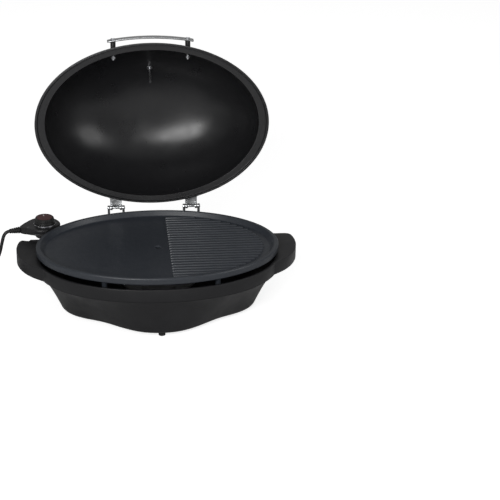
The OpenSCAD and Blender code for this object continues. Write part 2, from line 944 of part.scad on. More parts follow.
module strain_relief() {
    color("#141414")
        at_control()
            translate([exit_x + 12, 0, exit_z])
                rotate([0, -90, 0])
                    rotate_extrude()
                        polygon(concat([[0, 0], [relief_d / 2, 0], [relief_d / 2, 13]],
                            [for (k = [0:4]) for (s = [[7 - k * 0.5, 0.3], [7 - k * 0.5, 3.2],
                                [5.4 - k * 0.35, 3.3], [5.4 - k * 0.35, 4.3]]) [s[0], 13 + k * 4.3 + s[1]]],
                            [[0, 13 + 5 * 4.3]]));
}

// ---------------------------------------------------------------- mains lead

// The lead's first stretch, kept on top of the table where it reaches it
module cord() {
    color("#121212")
        translate([-control_x, control_y, 0])
            tube([for (p = smooth(cord_route, cord_steps)) [p[0], p[1], max(cord_r, p[2])]],
                cord_r, cord_sides, [0, 1, 0]);
}

// Radius, height and direction of the coil along its turns
coil_total = 2 * coil_turns;
function coil_radius(t) = coil_r - coil_pitch * (t < coil_turns ? t : coil_total - t);
function coil_height(t) =
    let (s = min(1, max(0, (t - coil_turns + 0.25) / 0.5))) cord_r + coil_pitch * s;
coil_path = concat(
    [[coil_x + cord_d, coil_y + coil_r, cord_r]],
    [for (i = [0:coil_total * coil_rings])
        let (t = i / coil_rings, a = 90 + 360 * t)
        [coil_x + coil_radius(t) * cos(a), coil_y + coil_radius(t) * sin(a), coil_height(t)]],
    [[coil_x - cord_d, coil_y + coil_r, cord_r + coil_pitch]]);
// Least gap between two places of the coil that are more than half a turn apart
coil_far = coil_rings / 2;
coil_near = min([for (i = [1:3:len(coil_path) - 1]) for (j = [i + coil_far:len(coil_path) - 1])
    norm(coil_path[i] - coil_path[j])]) - cord_d;
echo(coil_least_gap = coil_near);

module cord_coil() {
    color("#121212")
        tube(coil_path, cord_r, coil_sides, [0, 0, 1]);
}

// The plug's own frame: X from the lead into the body, lying beside the coil
module at_plug() {
    translate([coil_x - cord_d, coil_y + coil_r, plug_t / 2])
        rotate([0, 0, 180])
            children();
}

module plug_body() {
    color("#141414")
        at_plug()
            difference() {
                union() {
                    translate([14, -plug_w / 2, -plug_t / 2])
                        cube([plug_l - 14, plug_w, plug_t]);
                    rotate([0, 90, 0])
                        cylinder(d1 = cord_d + 3, d2 = plug_t - 4, h = 15);
                }
                for (side = [-1, 1])
                    translate([plug_l - 8, side * 6.35 - 0.8, -1])
                        cube([9, 1.6, 6.4]);
                translate([plug_l - 8, 0, -6])
                    rotate([0, 90, 0])
                        cylinder(d = 4.8, h = 9);
            }
}

module plug_blade(side) {
    color("#c8a75c")
        at_plug()
            translate([plug_l - 8, side * 6.35 - 0.75, -0.95])
                cube([8 + 16, 1.5, 6.3]);
}

module plug_ground_pin() {
    color("#c8a75c")
        at_plug()
            translate([plug_l - 8, 0, -6])
                rotate([0, 90, 0])
                    cylinder(d = 4.7, h = 8 + 18);
}

// ---------------------------------------------------------------- lid

// Height of the dome over its foot at a share of its radius
function dome_rise(s, h) = h * pow(max(0, 1 - pow(min(1, s), dome_flat)), dome_power);
function dome_at(x, y) =
    lid_z + dome_foot + dome_rise(norm([x, y / oval]) / dome_r, dome_h);
function lid_ring(r, z) = [for (i = [0:around - 1])
    [r * cos(turn(i)), r * oval * sin(turn(i)), lid_z + z]];
dome_steps = [2, 9, 17, 26, 35, 44, 53, 62, 70, 77, 83, 87.5];

module lid_form() {
    r = plate_r;
    f = dome_foot;
    inner = [for (a = dome_steps)
        lid_ring((dome_r - lid_t) * sin(a), f + dome_rise(sin(a), dome_h - lid_t))];
    outer = [for (i = [len(dome_steps) - 1:-1:0]) let (a = dome_steps[i])
        lid_ring(dome_r * sin(a), f + dome_rise(sin(a), dome_h))];
    skin(concat(inner,
        [lid_ring(dome_r - lid_t, f - lid_t), lid_ring(r - 6, f - lid_t), lid_ring(r - 4, 0),
            lid_ring(r - 1, 0), lid_ring(r, 1.5), lid_ring(r, flange_h - 3),
            lid_ring(r - 2, flange_h), lid_ring(r - 6, flange_h), lid_ring(r - 8.5, f),
            lid_ring(r - 11, flange_h - 1), lid_ring(r - 15, flange_h - 1), lid_ring(dome_r + 0.5, f)],
        outer));
}

gauge_slope = atan((dome_at(0, -gauge_y + 1) - dome_at(0, -gauge_y - 1)) / 2);
gauge_seat = 1.5;
gauge_low = gauge_seat;
// Direction of the needle when cold, turned from straight up
needle_start = 135;
// The thermometer's own frame: Z out of the dome, with zero on the dome's face
module at_gauge() {
    translate([0, -gauge_y, dome_at(0, -gauge_y)])
        rotate([gauge_slope, 0, 0])
            children();
}

module lid_shell() {
    color("#161617")
        opened()
            difference() {
                union() {
                    lid_form();
                    at_gauge()
                        translate([0, 0, gauge_seat - 5])
                            cylinder(d = gauge_d + 2, h = 5);
                }
                at_gauge()
                    translate([0, 0, -20])
                        cylinder(d = stem_d + 2 * fit, h = 40);
                handle_places()
                    rotate([90, 0, 0])
                        translate([0, 0, -50])
                            cylinder(d = screw_d + 2 * fit, h = 60);
                socket_rivet_places()
                    translate([0, 0, -10])
                        cylinder(d = rivet_d, h = 30);
            }
}

function crown_point(t, s) =
    let (r = full_r(t, crown_l / 2, crown_w / 2, 3), x = r * cos(t), y = r * sin(t),
        arch = y < 0 ? 15 * exp(-pow(x / 28, 2)) : 0)
    [x * s, (y + arch) * s];
function crown_ring(s, rise) = [for (i = [0:around - 1])
    let (p = crown_point(turn(i), s)) [p[0], p[1], dome_at(p[0], p[1]) + rise]];

module lid_crown() {
    low = [for (s = [0.06, 0.25, 0.45, 0.65, 0.85, 1]) crown_ring(s, -0.4)];
    high = [for (s = [0.97, 0.8, 0.6, 0.4, 0.2, 0.06]) crown_ring(s, crown_h)];
    color("#19191a")
        opened()
            skin(concat(low, high));
}

// The two screws of the handle, in the strap's own height
module handle_places() {
    for (side = [-1, 1])
        translate([side * post_span / 2, -strap_y + strap_sag(), lid_z + strap_z])
            children();
}

function strap_sag() = strap_r - sqrt(strap_r * strap_r - post_span * post_span / 4);
// Front of the dome at the height of the strap, beside a screw
function dome_share(z) = pow(1 - pow((z - dome_foot) / dome_h, 1 / dome_power), 1 / dome_flat);
function dome_front() =
    let (r = dome_r * dome_share(strap_z)) oval * sqrt(r * r - post_span * post_span / 4);

module lid_handle_strap() {
    color("#c4c6c8")
        opened()
            difference() {
                intersection() {
                    translate([0, strap_r - strap_y, lid_z + strap_z - strap_h / 2])
                        difference() {
                            cylinder(r = strap_r + strap_t / 2, h = strap_h, $fn = 200);
                            translate([0, 0, -over])
                                cylinder(r = strap_r - strap_t / 2, h = strap_h + 2 * over, $fn = 200);
                        }
                    translate([-strap_l / 2, -strap_y - strap_h / 2, lid_z + strap_z - strap_h])
                        cube([strap_l, 2 * strap_h, 2 * strap_h]);
                }
                handle_places()
                    rotate([90, 0, 0])
                        translate([0, 0, -strap_h])
                            cylinder(d = screw_d + 2 * fit, h = 2 * strap_h);
            }
}

// From the strap's middle line to the dome, beside a screw
function post_depth() = strap_y - strap_sag() - dome_front();

// The posts' outer ends follow the curve of the strap
module handle_posts() {
    color("#1a1a1a")
        opened()
            difference() {
                intersection() {
                    handle_places()
                        rotate([-90, 0, 0])
                            cylinder(d = post_d, h = post_depth() + 1);
                    translate([0, strap_r - strap_y, lid_z + strap_z - post_d])
                        cylinder(r = strap_r - strap_t / 2 - fit, h = 2 * post_d, $fn = 200);
                }
                handle_places()
                    rotate([-90, 0, 0])
                        translate([0, 0, -over])
                            cylinder(d = screw_d + 2 * fit, h = post_depth() + 5);
            }
}

module handle_screws() {
    head_low = -strap_t / 2 - 0.68 * screw_d;
    color("#c8cacc")
        opened()
            handle_places()
                rotate([-90, 0, 0])
                    translate([0, 0, head_low]) {
                        cylinder(d1 = 1.4 * screw_d, d2 = 2 * screw_d, h = 0.52 * screw_d);
                        cylinder(d = screw_d, h = post_depth() + lid_t + 3 * nut_h - head_low);
                    }
}

module handle_nuts() {
    color("#b4b6b9")
        opened()
            handle_places()
                rotate([-90, 0, 0])
                    translate([0, 0, post_depth() + lid_t + 0.5 * screw_d])
                        difference() {
                            cylinder(d = 1.8 * screw_d, h = nut_h, $fn = 6);
                            translate([0, 0, -over])
                                cylinder(d = screw_d + 2 * fit, h = nut_h + 2 * over);
                        }
}

// The rivets of the lid's two sockets, each on the flange between its beads and the dome
function rivet_y(x) = flange_back(x) - rivet_in;
module socket_rivet_places() {
    for (x = hinge_places) for (side = [-1, 1])
        translate([x + side * rivet_out, rivet_y(x + side * rivet_out), socket_base_z])
            children();
}

// One tab of a socket seen from above, slanting in to its rivet
module socket_tab_plan(x, side, y0) {
    near = x + side * (socket_w / 2 - 1);
    far = x + side * (socket_w / 2 + socket_tab);
    y = rivet_y(x + side * rivet_out);
    polygon([[near, y0], [far, y - socket_tab_w / 2], [far, y + socket_tab_w / 2],
        [near, y0 + socket_tab_w]]);
}

module hinge_socket(x) {
    y0 = flange_back(hinge_span / 2) - tongue_in;
    socket_top = tongue_z + tongue_t + 0.3 + socket_wall;
    color("#b9bbbe")
        opened()
            difference() {
                union() {
                    translate([x - socket_w / 2, y0, socket_base_z])
                        cube([socket_w, tongue_in, socket_top - socket_base_z]);
                    for (side = [-1, 1])
                        translate([0, 0, socket_base_z])
                            linear_extrude(1.5)
                                socket_tab_plan(x, side, y0);
                }
                translate([x - tongue_w / 2 - 0.3, y0 + 1, tongue_z - 0.3])
                    cube([tongue_w + 0.6, tongue_in + over, tongue_t + 0.6]);
                socket_rivet_places()
                    translate([0, 0, -over])
                        cylinder(d = rivet_d, h = 10);
            }
}

module socket_rivets() {
    color("#dfe1e3")
        opened()
            socket_rivet_places() {
                translate([0, 0, -4])
                    cylinder(d = rivet_d, h = 5.5);
                translate([0, 0, 1.5])
                    cylinder(d = 1.7 * rivet_d, h = 1.4);
            }
}

// ---------------------------------------------------------------- thermometer

module gauge_bezel() {
    r = gauge_d / 2;
    color("#c9cbcd")
        opened()
            at_gauge()
                translate([0, 0, gauge_low])
                    difference() {
                        rotate_extrude($fn = 96)
                            polygon([[0, 0], [r - 1, 0], [r, 1], [r, gauge_h - 2], [r - 1.5, gauge_h],
                                [r - bezel_w, gauge_h], [r - bezel_w, 1.5], [0, 1.5]]);
                        translate([0, 0, -over])
                            cylinder(d = stem_d + 2 * fit, h = 4);
                    }
}

module gauge_dial() {
    color("#101010")
        opened()
            at_gauge()
                translate([0, 0, gauge_low + 1.5])
                    difference() {
                        cylinder(d = gauge_d - 2 * bezel_w - 0.1, h = 1, $fn = 96);
                        translate([0, 0, -over])
                            cylinder(d = 3.2, h = 3);
                    }
}

module gauge_lens() {
    color("#dfe6ea", 0.4)
        opened()
            at_gauge()
                translate([0, 0, gauge_low + gauge_h - 1.8])
                    cylinder(d = gauge_d - 2 * bezel_w - 0.1, h = 1.2, $fn = 96);
}

module gauge_stem() {
    color("#b9bbbe")
        opened()
            at_gauge()
                translate([0, 0, gauge_low + 0.4 - stem_l])
                    cylinder(d = stem_d, h = stem_l);
}

module gauge_nut() {
    color("#b4b6b9")
        opened()
            at_gauge()
                translate([0, 0, gauge_seat - 5 - 4])
                    difference() {
                        cylinder(d = 12, h = 4, $fn = 6);
                        translate([0, 0, -over])
                            cylinder(d = stem_d + 2 * fit, h = 6);
                    }
}

module gauge_needle() {
    color("#c4372c")
        opened()
            at_gauge()
                translate([0, 0, gauge_low + 2.9]) {
                    cylinder(d = 5, h = 0.8);
                    translate([0, 0, -2])
                        cylinder(d = 3, h = 2.2);
                    linear_extrude(0.8)
                        rotate([0, 0, needle_start])
                            polygon([[-1.2, -6], [1.2, -6], [0.5, 19], [-0.5, 19]]);
                }
}

// ---------------------------------------------------------------- the nodes

base_bowl();
base_band();
foot(0);  // foot_front
foot(1);  // foot_back
foot(2);  // foot_left
foot(3);  // foot_right
foot_screws();
heat_shield();
drip_tray();
hinge_mount(hinge_places[0]);  // hinge_mount_left
hinge_mount(hinge_places[1]);  // hinge_mount_right
hinge_pin(hinge_places[0]);  // hinge_pin_left
hinge_pin(hinge_places[1]);  // hinge_pin_right
mount_rivets();
grill_plate();
heating_element();
probe_socket();
terminal_pins();
socket_screws();
control_base();
control_cover();
control_screws();
thermostat_switch();
probe_rod();
contact_sleeves();
dial_ring();
lamp_lens();
strain_relief();
cord();
cord_coil();
plug_body();
plug_blade(-1);  // plug_blade_left
plug_blade(1);  // plug_blade_right
plug_ground_pin();
knob();
knob_cap();
hinge_leaf(hinge_places[0]);  // hinge_leaf_left
hinge_leaf(hinge_places[1]);  // hinge_leaf_right
lid_shell();
lid_crown();
lid_handle_strap();
handle_posts();
handle_screws();
handle_nuts();
hinge_socket(hinge_places[0]);  // hinge_socket_left
hinge_socket(hinge_places[1]);  // hinge_socket_right
socket_rivets();
gauge_bezel();
gauge_dial();
gauge_lens();
gauge_stem();
gauge_nut();
gauge_needle();
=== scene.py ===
import json
import math

import bmesh
import bpy
import numpy as np
from mathutils import Matrix, Quaternion, Vector


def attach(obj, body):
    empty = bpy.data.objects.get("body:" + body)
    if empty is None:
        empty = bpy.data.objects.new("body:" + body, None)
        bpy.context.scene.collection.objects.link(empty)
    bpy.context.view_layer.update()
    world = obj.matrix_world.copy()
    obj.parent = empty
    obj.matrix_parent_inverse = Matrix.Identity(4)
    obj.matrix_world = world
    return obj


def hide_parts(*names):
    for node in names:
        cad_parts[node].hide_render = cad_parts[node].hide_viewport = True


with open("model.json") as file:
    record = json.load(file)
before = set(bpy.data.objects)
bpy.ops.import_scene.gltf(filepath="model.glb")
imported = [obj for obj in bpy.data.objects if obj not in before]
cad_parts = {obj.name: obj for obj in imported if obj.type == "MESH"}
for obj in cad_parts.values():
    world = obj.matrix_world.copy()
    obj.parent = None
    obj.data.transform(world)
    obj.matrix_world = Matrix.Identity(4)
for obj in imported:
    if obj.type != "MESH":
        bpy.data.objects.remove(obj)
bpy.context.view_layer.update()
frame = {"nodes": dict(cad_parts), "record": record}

# Sizes are in millimetres, as on the drawing of the grill, and settle() turns them into metres.
MM = 0.001
TURN = 2 * math.pi
AROUND = 288          # points round the oval pieces
FINE = 1440           # points round the band, whose handles have small corners
ROUND = 96            # points round the small turned pieces

# Cooking plate
PLATE_R = 245
PLATE_OVAL = 343 / 490
RIM_TOP = 137
RIM_LOW = 123
COOK_Z = 127
UNDER_Z = 121
RIM_LIP = 9
WELL_R = 228
DRAIN_R = 6
RIDGE_PITCH = 12
RIDGE_GAP = 22
RIDGE_W = 5
RIDGE_H = 3.5
TUBE_R, TUBE_BEND, TUBE_HALF, TUBE_OPEN = 4, 75, 75, 26

# Base
BAND_A, BAND_B = 245, 180
FULLNESS = 2.15       # 2 would be a true oval
BAND_LOW, BAND_TOP = 90, 116.5
BAND_LIP = 5
WALL = 3.2
BOWL_STEP = 3
BOTTOM_A, BOTTOM_B, BOTTOM_WAIST = 197, 153, 146
BOTTOM_R = 6
END_SWELL, FRONT_SWELL = 30, 26
BOWL_POWER = 0.77
FOOT_H = 8
FOOT_X, FOOT_Y = 166, 140
HANDLE_END, HANDLE_SWEEP, HANDLE_MID = 286, 126, 36
HANDLE_BACK, HANDLE_BACK_R = 78, 14
HANDLE_BLEND = 30
SHELF_T = 3.5
LEDGE_Z = 93.5
SHIELD_A, SHIELD_B = 238, 173
SHIELD_T, SHIELD_DEEP, SHIELD_R = 1.2, 56, 160
TRAY_R, TRAY_H = 75, 20
LEG_R, LEG_IN, LEG_ANGLE = 5.5, 17, math.radians(60)
LEG_X = (SHIELD_A - LEG_IN) * math.cos(LEG_ANGLE)
LEG_Y = (SHIELD_A - LEG_IN) * SHIELD_B / SHIELD_A * math.sin(LEG_ANGLE)
FOOT_PLACES = {"front": (0, -FOOT_Y), "back": (0, FOOT_Y), "left": (-FOOT_X, 0),
               "right": (FOOT_X, 0)}

# Lid
LID_Z = 137.3
DOME_R, DOME_H, DOME_FOOT = 226, 141, 7
DOME_FLAT, DOME_POWER = 2.8, 0.606
LID_T = 2.2
FLANGE_H = 9.5
CROWN_A, CROWN_B, CROWN_H = 91, 56, 3
ARCH_DEEP, ARCH_WIDE = 15, 28
STRAP_L, STRAP_H, STRAP_T, STRAP_R = 180, 21, 3, 520
STRAP_Y, STRAP_Z, STRAP_CORNER = 174, 54, 3.0
POST_X = 78
GAUGE_R, GAUGE_H, GAUGE_Y = 30, 7, 98
GAUGE_SEAT = 1.5
NEEDLE_COLD = 135
OPEN_ANGLE = 95

# Hinges
HINGE_X, HINGE_Y, HINGE_Z = 80, 181, 140
EAR_X, EAR_Z = 15.5, 103.25
SOCKET_RIVET_X = 17.7

# Heat control
CONTROL_Y, CONTROL_ANGLE = 108, 14
CONTROL_X = 39 + PLATE_R * math.sqrt(1 - (CONTROL_Y / PLATE_R / PLATE_OVAL) ** 2)
CASE_LOW, CASE_FOOT, CASE_SPLIT, CASE_TOP = 112, 120, 125.5, 139
CASE_TAIL, TAIL_R, TAIL_TOP = 42, 11, 137.5
CASE_BACK, CASE_R, CASE_SIDE = 4, 36, 8
CASE_MIDDLE, CASE_ROOM = 12, 1.5
# The discs that the case is drawn over: behind the knob by, radius, height
CASE_DISCS = [(0, 25, CASE_FOOT), (CASE_BACK, CASE_R, CASE_TOP - CASE_SIDE),
              (CASE_BACK, CASE_R, CASE_TOP), (CASE_TAIL, TAIL_R, CASE_SPLIT),
              (CASE_TAIL, TAIL_R, TAIL_TOP)]
NOSE_HALF, NOSE_END, NOSE_TOP = 20, 50, 120.5
SOCKET_IN, SOCKET_ARM, SOCKET_SCREWS = 50.5, 27, (5.5, 16.5)
NOTCH_FROM, NOTCH_TO = -52, 84.5
EXIT_X, EXIT_Z = -52, 131.5
KNOB_R, KNOB_H, KNOB_Z, KNOB_RIBS = 21, 12, 141.8, 36
RING_H = 2.5
LAMP_X, LAMP_Y = -37, -10

# Mains lead
CORD_R = 3.5
CORD_STEPS = 5
COIL_AT = (-CONTROL_X - 189, CONTROL_Y - 40)
COIL_R, COIL_PITCH, COIL_TURNS, COIL_RINGS = 50, 7.6, 3, 24
# The lead's way from the strain relief down to the table, seen from the knob
CORD_ROUTE = [
    (-72, -18, 131.5), (-78.5, -19.6, 129.3), (-83.5, -21, 123), (-87, -22, 112), (-90, -22.5, 100),
    (-93, -23, 88), (-98, -22.5, 74), (-105, -21, 58), (-113, -18, 42), (-122, -14, 26),
    (-134, -8, 12), (-148, 0, 5), (-162, 6, 3.5), (-172, 9, 3.5), (-182, 10, 3.5),
]

# Light: the air's own on the grill, and the floor's glow to the camera
AIR_LIGHT, FLOOR_GLOW = 0.25, 0.75

scene = bpy.context.scene


# ---- where things stand

def shift(x, y, z):
    return Matrix.Translation((x, y, z))


def turned(angle, axis):
    return Matrix.Rotation(math.radians(angle), 4, axis)


def dome_rise(share, height=DOME_H):
    """Height of the dome over its foot at a share of its radius."""
    share = np.minimum(1, share)
    return height * np.maximum(0, 1 - share ** DOME_FLAT) ** DOME_POWER


def dome_at(x, y):
    return LID_Z + DOME_FOOT + dome_rise(np.hypot(x, y / PLATE_OVAL) / DOME_R)


GAUGE_SLOPE = math.degrees(math.atan((dome_at(0, 1 - GAUGE_Y) - dome_at(0, -1 - GAUGE_Y)) / 2))
OPENED = shift(0, HINGE_Y, HINGE_Z) @ turned(-OPEN_ANGLE, "X") @ shift(0, -HINGE_Y, -HINGE_Z)
AT_GAUGE = OPENED @ shift(0, -GAUGE_Y, float(dome_at(0, -GAUGE_Y))) @ turned(GAUGE_SLOPE, "X")
AT_CONTROL = shift(-CONTROL_X, CONTROL_Y, 0) @ turned(CONTROL_ANGLE, "Z")
AT_PLUG = shift(COIL_AT[0] - 2 * CORD_R, COIL_AT[1] + COIL_R, 12) @ turned(180, "Z")


# ---- finishes

def wired(tree, kind, inputs=(), **settings):
    """The outputs of a new node, once its settings are made and its inputs linked or set."""
    node = tree.nodes.new(kind)
    for name, value in settings.items():
        setattr(node, name, value)
    for name, value in dict(inputs).items():
        if isinstance(value, bpy.types.NodeSocket):
            tree.links.new(value, node.inputs[name])
        else:
            node.inputs[name].default_value = value
    return node.outputs


class Finish:
    """One material in the making: patterns lie on the object's own metres."""

    def __init__(self, slot, colour, roughness, metallic=0.0, **more):
        self.slot = slot
        self.material = bpy.data.materials.new("finish_" + slot)
        self.material.use_nodes = True
        self.tree = self.material.node_tree
        self.shader = self.tree.nodes["Principled BSDF"]
        self.height = None
        more.update(Base_Color=(*colour, 1), Roughness=roughness, Metallic=metallic)
        for name, value in more.items():
            self.shader.inputs[name.replace("_", " ")].default_value = value

    def add(self, kind, inputs=(), **settings):
        return wired(self.tree, kind, inputs, **settings)

    def drive(self, name, pattern):
        self.tree.links.new(pattern, self.shader.inputs[name])

    def place(self, stretch=(1, 1, 1)):
        where = self.add("ShaderNodeTexCoord")["Object"]
        return self.add("ShaderNodeMapping", {"Vector": where, "Scale": stretch})[0]

    def noise(self, size, detail=4.0, stretch=(1, 1, 1)):
        """Cloudy pattern whose blotches are about size millimetres wide."""
        return self.add("ShaderNodeTexNoise", {
            "Vector": self.place(stretch), "Scale": 1 / (size * MM), "Detail": detail,
            "Roughness": 0.55})["Fac"]

    def specks(self, size, spread):
        """Small round flecks, size millimetres apart, from 0 in a fleck to 1 around it."""
        far = self.add("ShaderNodeTexVoronoi", {
            "Vector": self.place(), "Scale": 1 / (size * MM), "Randomness": 1.0})["Distance"]
        return self.between(far, 0.12, spread)

    def between(self, pattern, low, high, to_low=0.0, to_high=1.0):
        return self.add("ShaderNodeMapRange", {
            "Value": pattern, "From Min": low, "From Max": high, "To Min": to_low,
            "To Max": to_high})[0]

    def shine(self, pattern, low, high):
        """Roughness that wanders between two values."""
        self.drive("Roughness", self.between(pattern, 0.3, 0.7, low, high))

    def tint(self, pattern, colour, start, end):
        """Colour that drifts from its own towards another one."""
        own = self.shader.inputs["Base Color"]
        before = own.links[0].from_socket if own.links else tuple(own.default_value)
        mix = self.add("ShaderNodeMix", {
            0: self.between(pattern, start, end), 6: before, 7: (*colour, 1)}, data_type="RGBA")
        self.drive("Base Color", mix[2])

    def relief(self, pattern, height):
        """Fine relief, height in millimetres from the pattern's 0 to its 1."""
        inputs = {"Height": pattern, "Distance": height * MM, "Strength": 1.0}
        if self.height is not None:
            inputs["Normal"] = self.height
        self.height = self.add("ShaderNodeBump", inputs)[0]
        self.drive("Normal", self.height)


def moulded(slot, colour, roughness, grain, height, gloss=0.35):
    """Moulded plastic or rubber: fine grain, cloudy shine and a faint drift in colour."""
    f = Finish(slot, colour, roughness, Specular_IOR_Level=gloss)
    f.shine(f.noise(35, 3), roughness - 0.06, roughness + 0.08)
    f.tint(f.noise(60, 4), tuple(c * 1.35 for c in colour), 0.45, 0.8)
    f.relief(f.noise(grain, 2), height)
    return f


def brushed(slot, colour, roughness, along=(0.03, 1, 1), stroke=0.35, height=0.004):
    """Metal with fine strokes along one axis and a slow cloud of handling marks."""
    f = Finish(slot, colour, roughness, 1.0)
    strokes = f.noise(stroke, 3, along)
    f.shine(strokes, roughness - 0.07, roughness + 0.12)
    f.tint(strokes, tuple(c * 0.8 for c in colour), 0.35, 0.75)
    f.tint(f.noise(25, 4), tuple(c * 0.86 for c in colour), 0.5, 0.85)
    f.relief(strokes, height)
    return f


def nonstick():
    """Cast plate under a dark speckled coating with an orange-peel skin."""
    f = Finish("nonstick_coating", (0.024, 0.028, 0.035), 0.36)
    f.tint(f.noise(45, 5), (0.027, 0.026, 0.028), 0.45, 0.8)
    f.tint(f.specks(1.9, 0.22), (0.024, 0.028, 0.035), 0.0, 1.0)
    f.tint(f.between(f.noise(0.7, 1), 0.66, 0.72), (0.08, 0.085, 0.095), 0.0, 1.0)
    f.shine(f.noise(18, 5), 0.30, 0.44)
    f.relief(f.noise(1.1, 2), 0.025)
    f.relief(f.noise(6, 2), 0.03)
    return f


def enamel():
    """Satin black enamel on pressed sheet: nearly even, a little wavy."""
    f = Finish("lid_enamel", (0.010, 0.010, 0.011), 0.30)
    f.shine(f.noise(40, 5), 0.26, 0.36)
    f.relief(f.noise(1.6, 2), 0.006)
    f.relief(f.noise(30, 2), 0.05)
    return f


def dull_sheet(slot, colour, roughness):
    """Rolled sheet with rolling lines, dull clouds and small stains."""
    f = brushed(slot, colour, roughness, (0.05, 1, 1), 1.2, 0.003)
    f.tint(f.noise(14, 6), tuple(c * 0.7 for c in colour), 0.58, 0.8)
    return f


def heated_tube():
    """Steel tube that heat has dulled, straw to brown in blotches."""
    f = Finish("heater_tube", (0.24, 0.23, 0.22), 0.48, 0.9)
    f.tint(f.noise(22, 5), (0.16, 0.11, 0.07), 0.4, 0.75)
    f.shine(f.noise(4, 4), 0.4, 0.6)
    f.relief(f.noise(0.8, 2), 0.01)
    return f


def clear(slot, colour, roughness, alpha):
    """Clear moulded or pressed glass, with a faint ripple."""
    f = Finish(slot, colour, roughness, Transmission_Weight=0.9, IOR=1.46, Alpha=alpha)
    f.relief(f.noise(9, 2), 0.01)
    return f


def painted(slot, colour, roughness):
    f = Finish(slot, colour, roughness)
    f.tint(f.noise(8, 4), tuple(c * 0.82 for c in colour), 0.45, 0.8)
    f.shine(f.noise(5, 4), roughness - 0.06, roughness + 0.08)
    f.relief(f.noise(0.6, 2), 0.006)
    return f


FINISHES = {f.slot: f.material for f in (
    moulded("base_plastic", (0.011, 0.011, 0.012), 0.40, 0.55, 0.035, 0.3),
    moulded("foot_rubber", (0.012, 0.012, 0.012), 0.7, 0.9, 0.04),
    moulded("socket_plastic", (0.030, 0.030, 0.030), 0.5, 0.6, 0.02),
    moulded("control_plastic", (0.013, 0.013, 0.014), 0.3, 0.7, 0.012),
    moulded("cord_rubber", (0.010, 0.010, 0.010), 0.45, 0.8, 0.02),
    moulded("knob_plastic", (0.012, 0.012, 0.012), 0.28, 0.6, 0.01),
    moulded("post_plastic", (0.015, 0.015, 0.015), 0.42, 0.6, 0.015),
    painted("knob_red", (0.055, 0.012, 0.011), 0.4),
    painted("needle_red", (0.60, 0.05, 0.03), 0.35),
    painted("switch_ceramic", (0.70, 0.65, 0.55), 0.7),
    painted("dial_black", (0.010, 0.010, 0.010), 0.35),
    nonstick(),
    enamel(),
    brushed("zinc_steel", (0.55, 0.56, 0.58), 0.34),
    brushed("hinge_steel", (0.60, 0.61, 0.62), 0.26),
    brushed("handle_steel", (0.62, 0.63, 0.64), 0.27, (0.015, 1, 1), 0.3, 0.006),
    brushed("probe_steel", (0.60, 0.60, 0.62), 0.24),
    brushed("contact_brass", (0.70, 0.50, 0.25), 0.28),
    brushed("ring_silver", (0.16, 0.16, 0.17), 0.3),
    brushed("bezel_chrome", (0.75, 0.76, 0.78), 0.12, (1, 1, 1), 0.8, 0.001),
    # The heat shield's near-black colour is partly the sheet's own dull tone and partly painted
    # shade for the dark gap round the plate.
    dull_sheet("shield_sheet", (0.03, 0.03, 0.032), 0.55),
    dull_sheet("tray_sheet", (0.50, 0.50, 0.52), 0.38),
    heated_tube(),
    clear("lamp_clear", (0.80, 0.80, 0.80), 0.12, 1.0),
    clear("lens_glass", (0.90, 0.93, 0.95), 0.03, 0.25),
)}
FINISHES["white_print"] = painted("white_print", (0.72, 0.72, 0.70), 0.45).material
SLOT_OF = {s["node"]: s["material_slot"] for s in frame["record"]["subparts"]}
BODY_OF = {n: b for b, nodes in frame["record"]["behaviour"]["bodies"].items() for n in nodes}


# ---- making a piece

def settle(mesh, place=None):
    """Puts a mesh drawn in millimetres where it belongs, in metres."""
    mesh.transform(Matrix.Scale(MM, 4) @ (place or Matrix()))


def dress(piece, node, sharp=32, finish=None, extra=False):
    """Gives a piece the material and the body of a CAD node, which it stands for unless it is
    extra to it, and soft shading up to an angle."""
    mesh = piece.data
    mesh.materials.clear()
    mesh.materials.append(FINISHES[finish or SLOT_OF[node]])
    mesh.shade_smooth()
    mesh.set_sharp_from_angle(angle=math.radians(sharp))
    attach(piece, BODY_OF[node])
    if not extra:
        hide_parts(node)
    return piece


def linked(name, mesh):
    piece = bpy.data.objects.new(name, mesh)
    scene.collection.objects.link(piece)
    return piece


def plain_mesh(name, points, faces):
    mesh = bpy.data.meshes.new(name)
    mesh.from_pydata(np.asarray(points, float).tolist(), [], [tuple(map(int, f)) for f in faces])
    mesh.validate()
    return mesh


def made(name, shape, node, place=None, sharp=32, **more):
    """A finished piece from a shape, which is a list of points and one of faces."""
    mesh = plain_mesh(name, *shape)
    settle(mesh, place)
    return dress(linked(name, mesh), node, sharp, **more)


def frozen(piece):
    """The mesh that a piece's modifiers or letters come out as."""
    graph = bpy.context.evaluated_depsgraph_get()
    return bpy.data.meshes.new_from_object(piece.evaluated_get(graph))


def worked_in(piece):
    """The piece with its modifiers worked into its mesh."""
    mesh = frozen(piece)
    piece.modifiers.clear()
    piece.data = mesh
    return piece


def joined(*shapes):
    """Several shapes as one."""
    points, faces, count = [], [], 0
    for p, f in shapes:
        points.append(np.asarray(p, float))
        faces += [tuple(i + count for i in face) for face in f]
        count += len(p)
    return np.concatenate(points), faces


def carried(points, place):
    m = np.array(place)
    return np.asarray(points, float) @ m[:3, :3].T + m[:3, 3]


def moved(shape, place):
    return carried(shape[0], place), shape[1]


def skin(rings, loop=False, flip=False):
    """A surface over rings of points, closed on itself or with a fan on each end."""
    rings = [np.asarray(r, float) for r in rings]
    n, m = len(rings[0]), len(rings)
    faces = []
    for j in range(m if loop else m - 1):
        k = (j + 1) % m
        for i in range(n):
            h = (i + 1) % n
            faces.append((j * n + i, j * n + h, k * n + h, k * n + i))
    points = np.concatenate(rings)
    if not loop:
        ends = [rings[0].mean(0), rings[-1].mean(0)]
        points = np.concatenate([points, ends])
        last = (m - 1) * n
        for i in range(n):
            h = (i + 1) % n
            faces += [(m * n, h, i), (m * n + 1, last + i, last + h)]
    if flip:
        faces = [f[::-1] for f in faces]
    return points, faces


def angles(count):
    return np.arange(count) * TURN / count


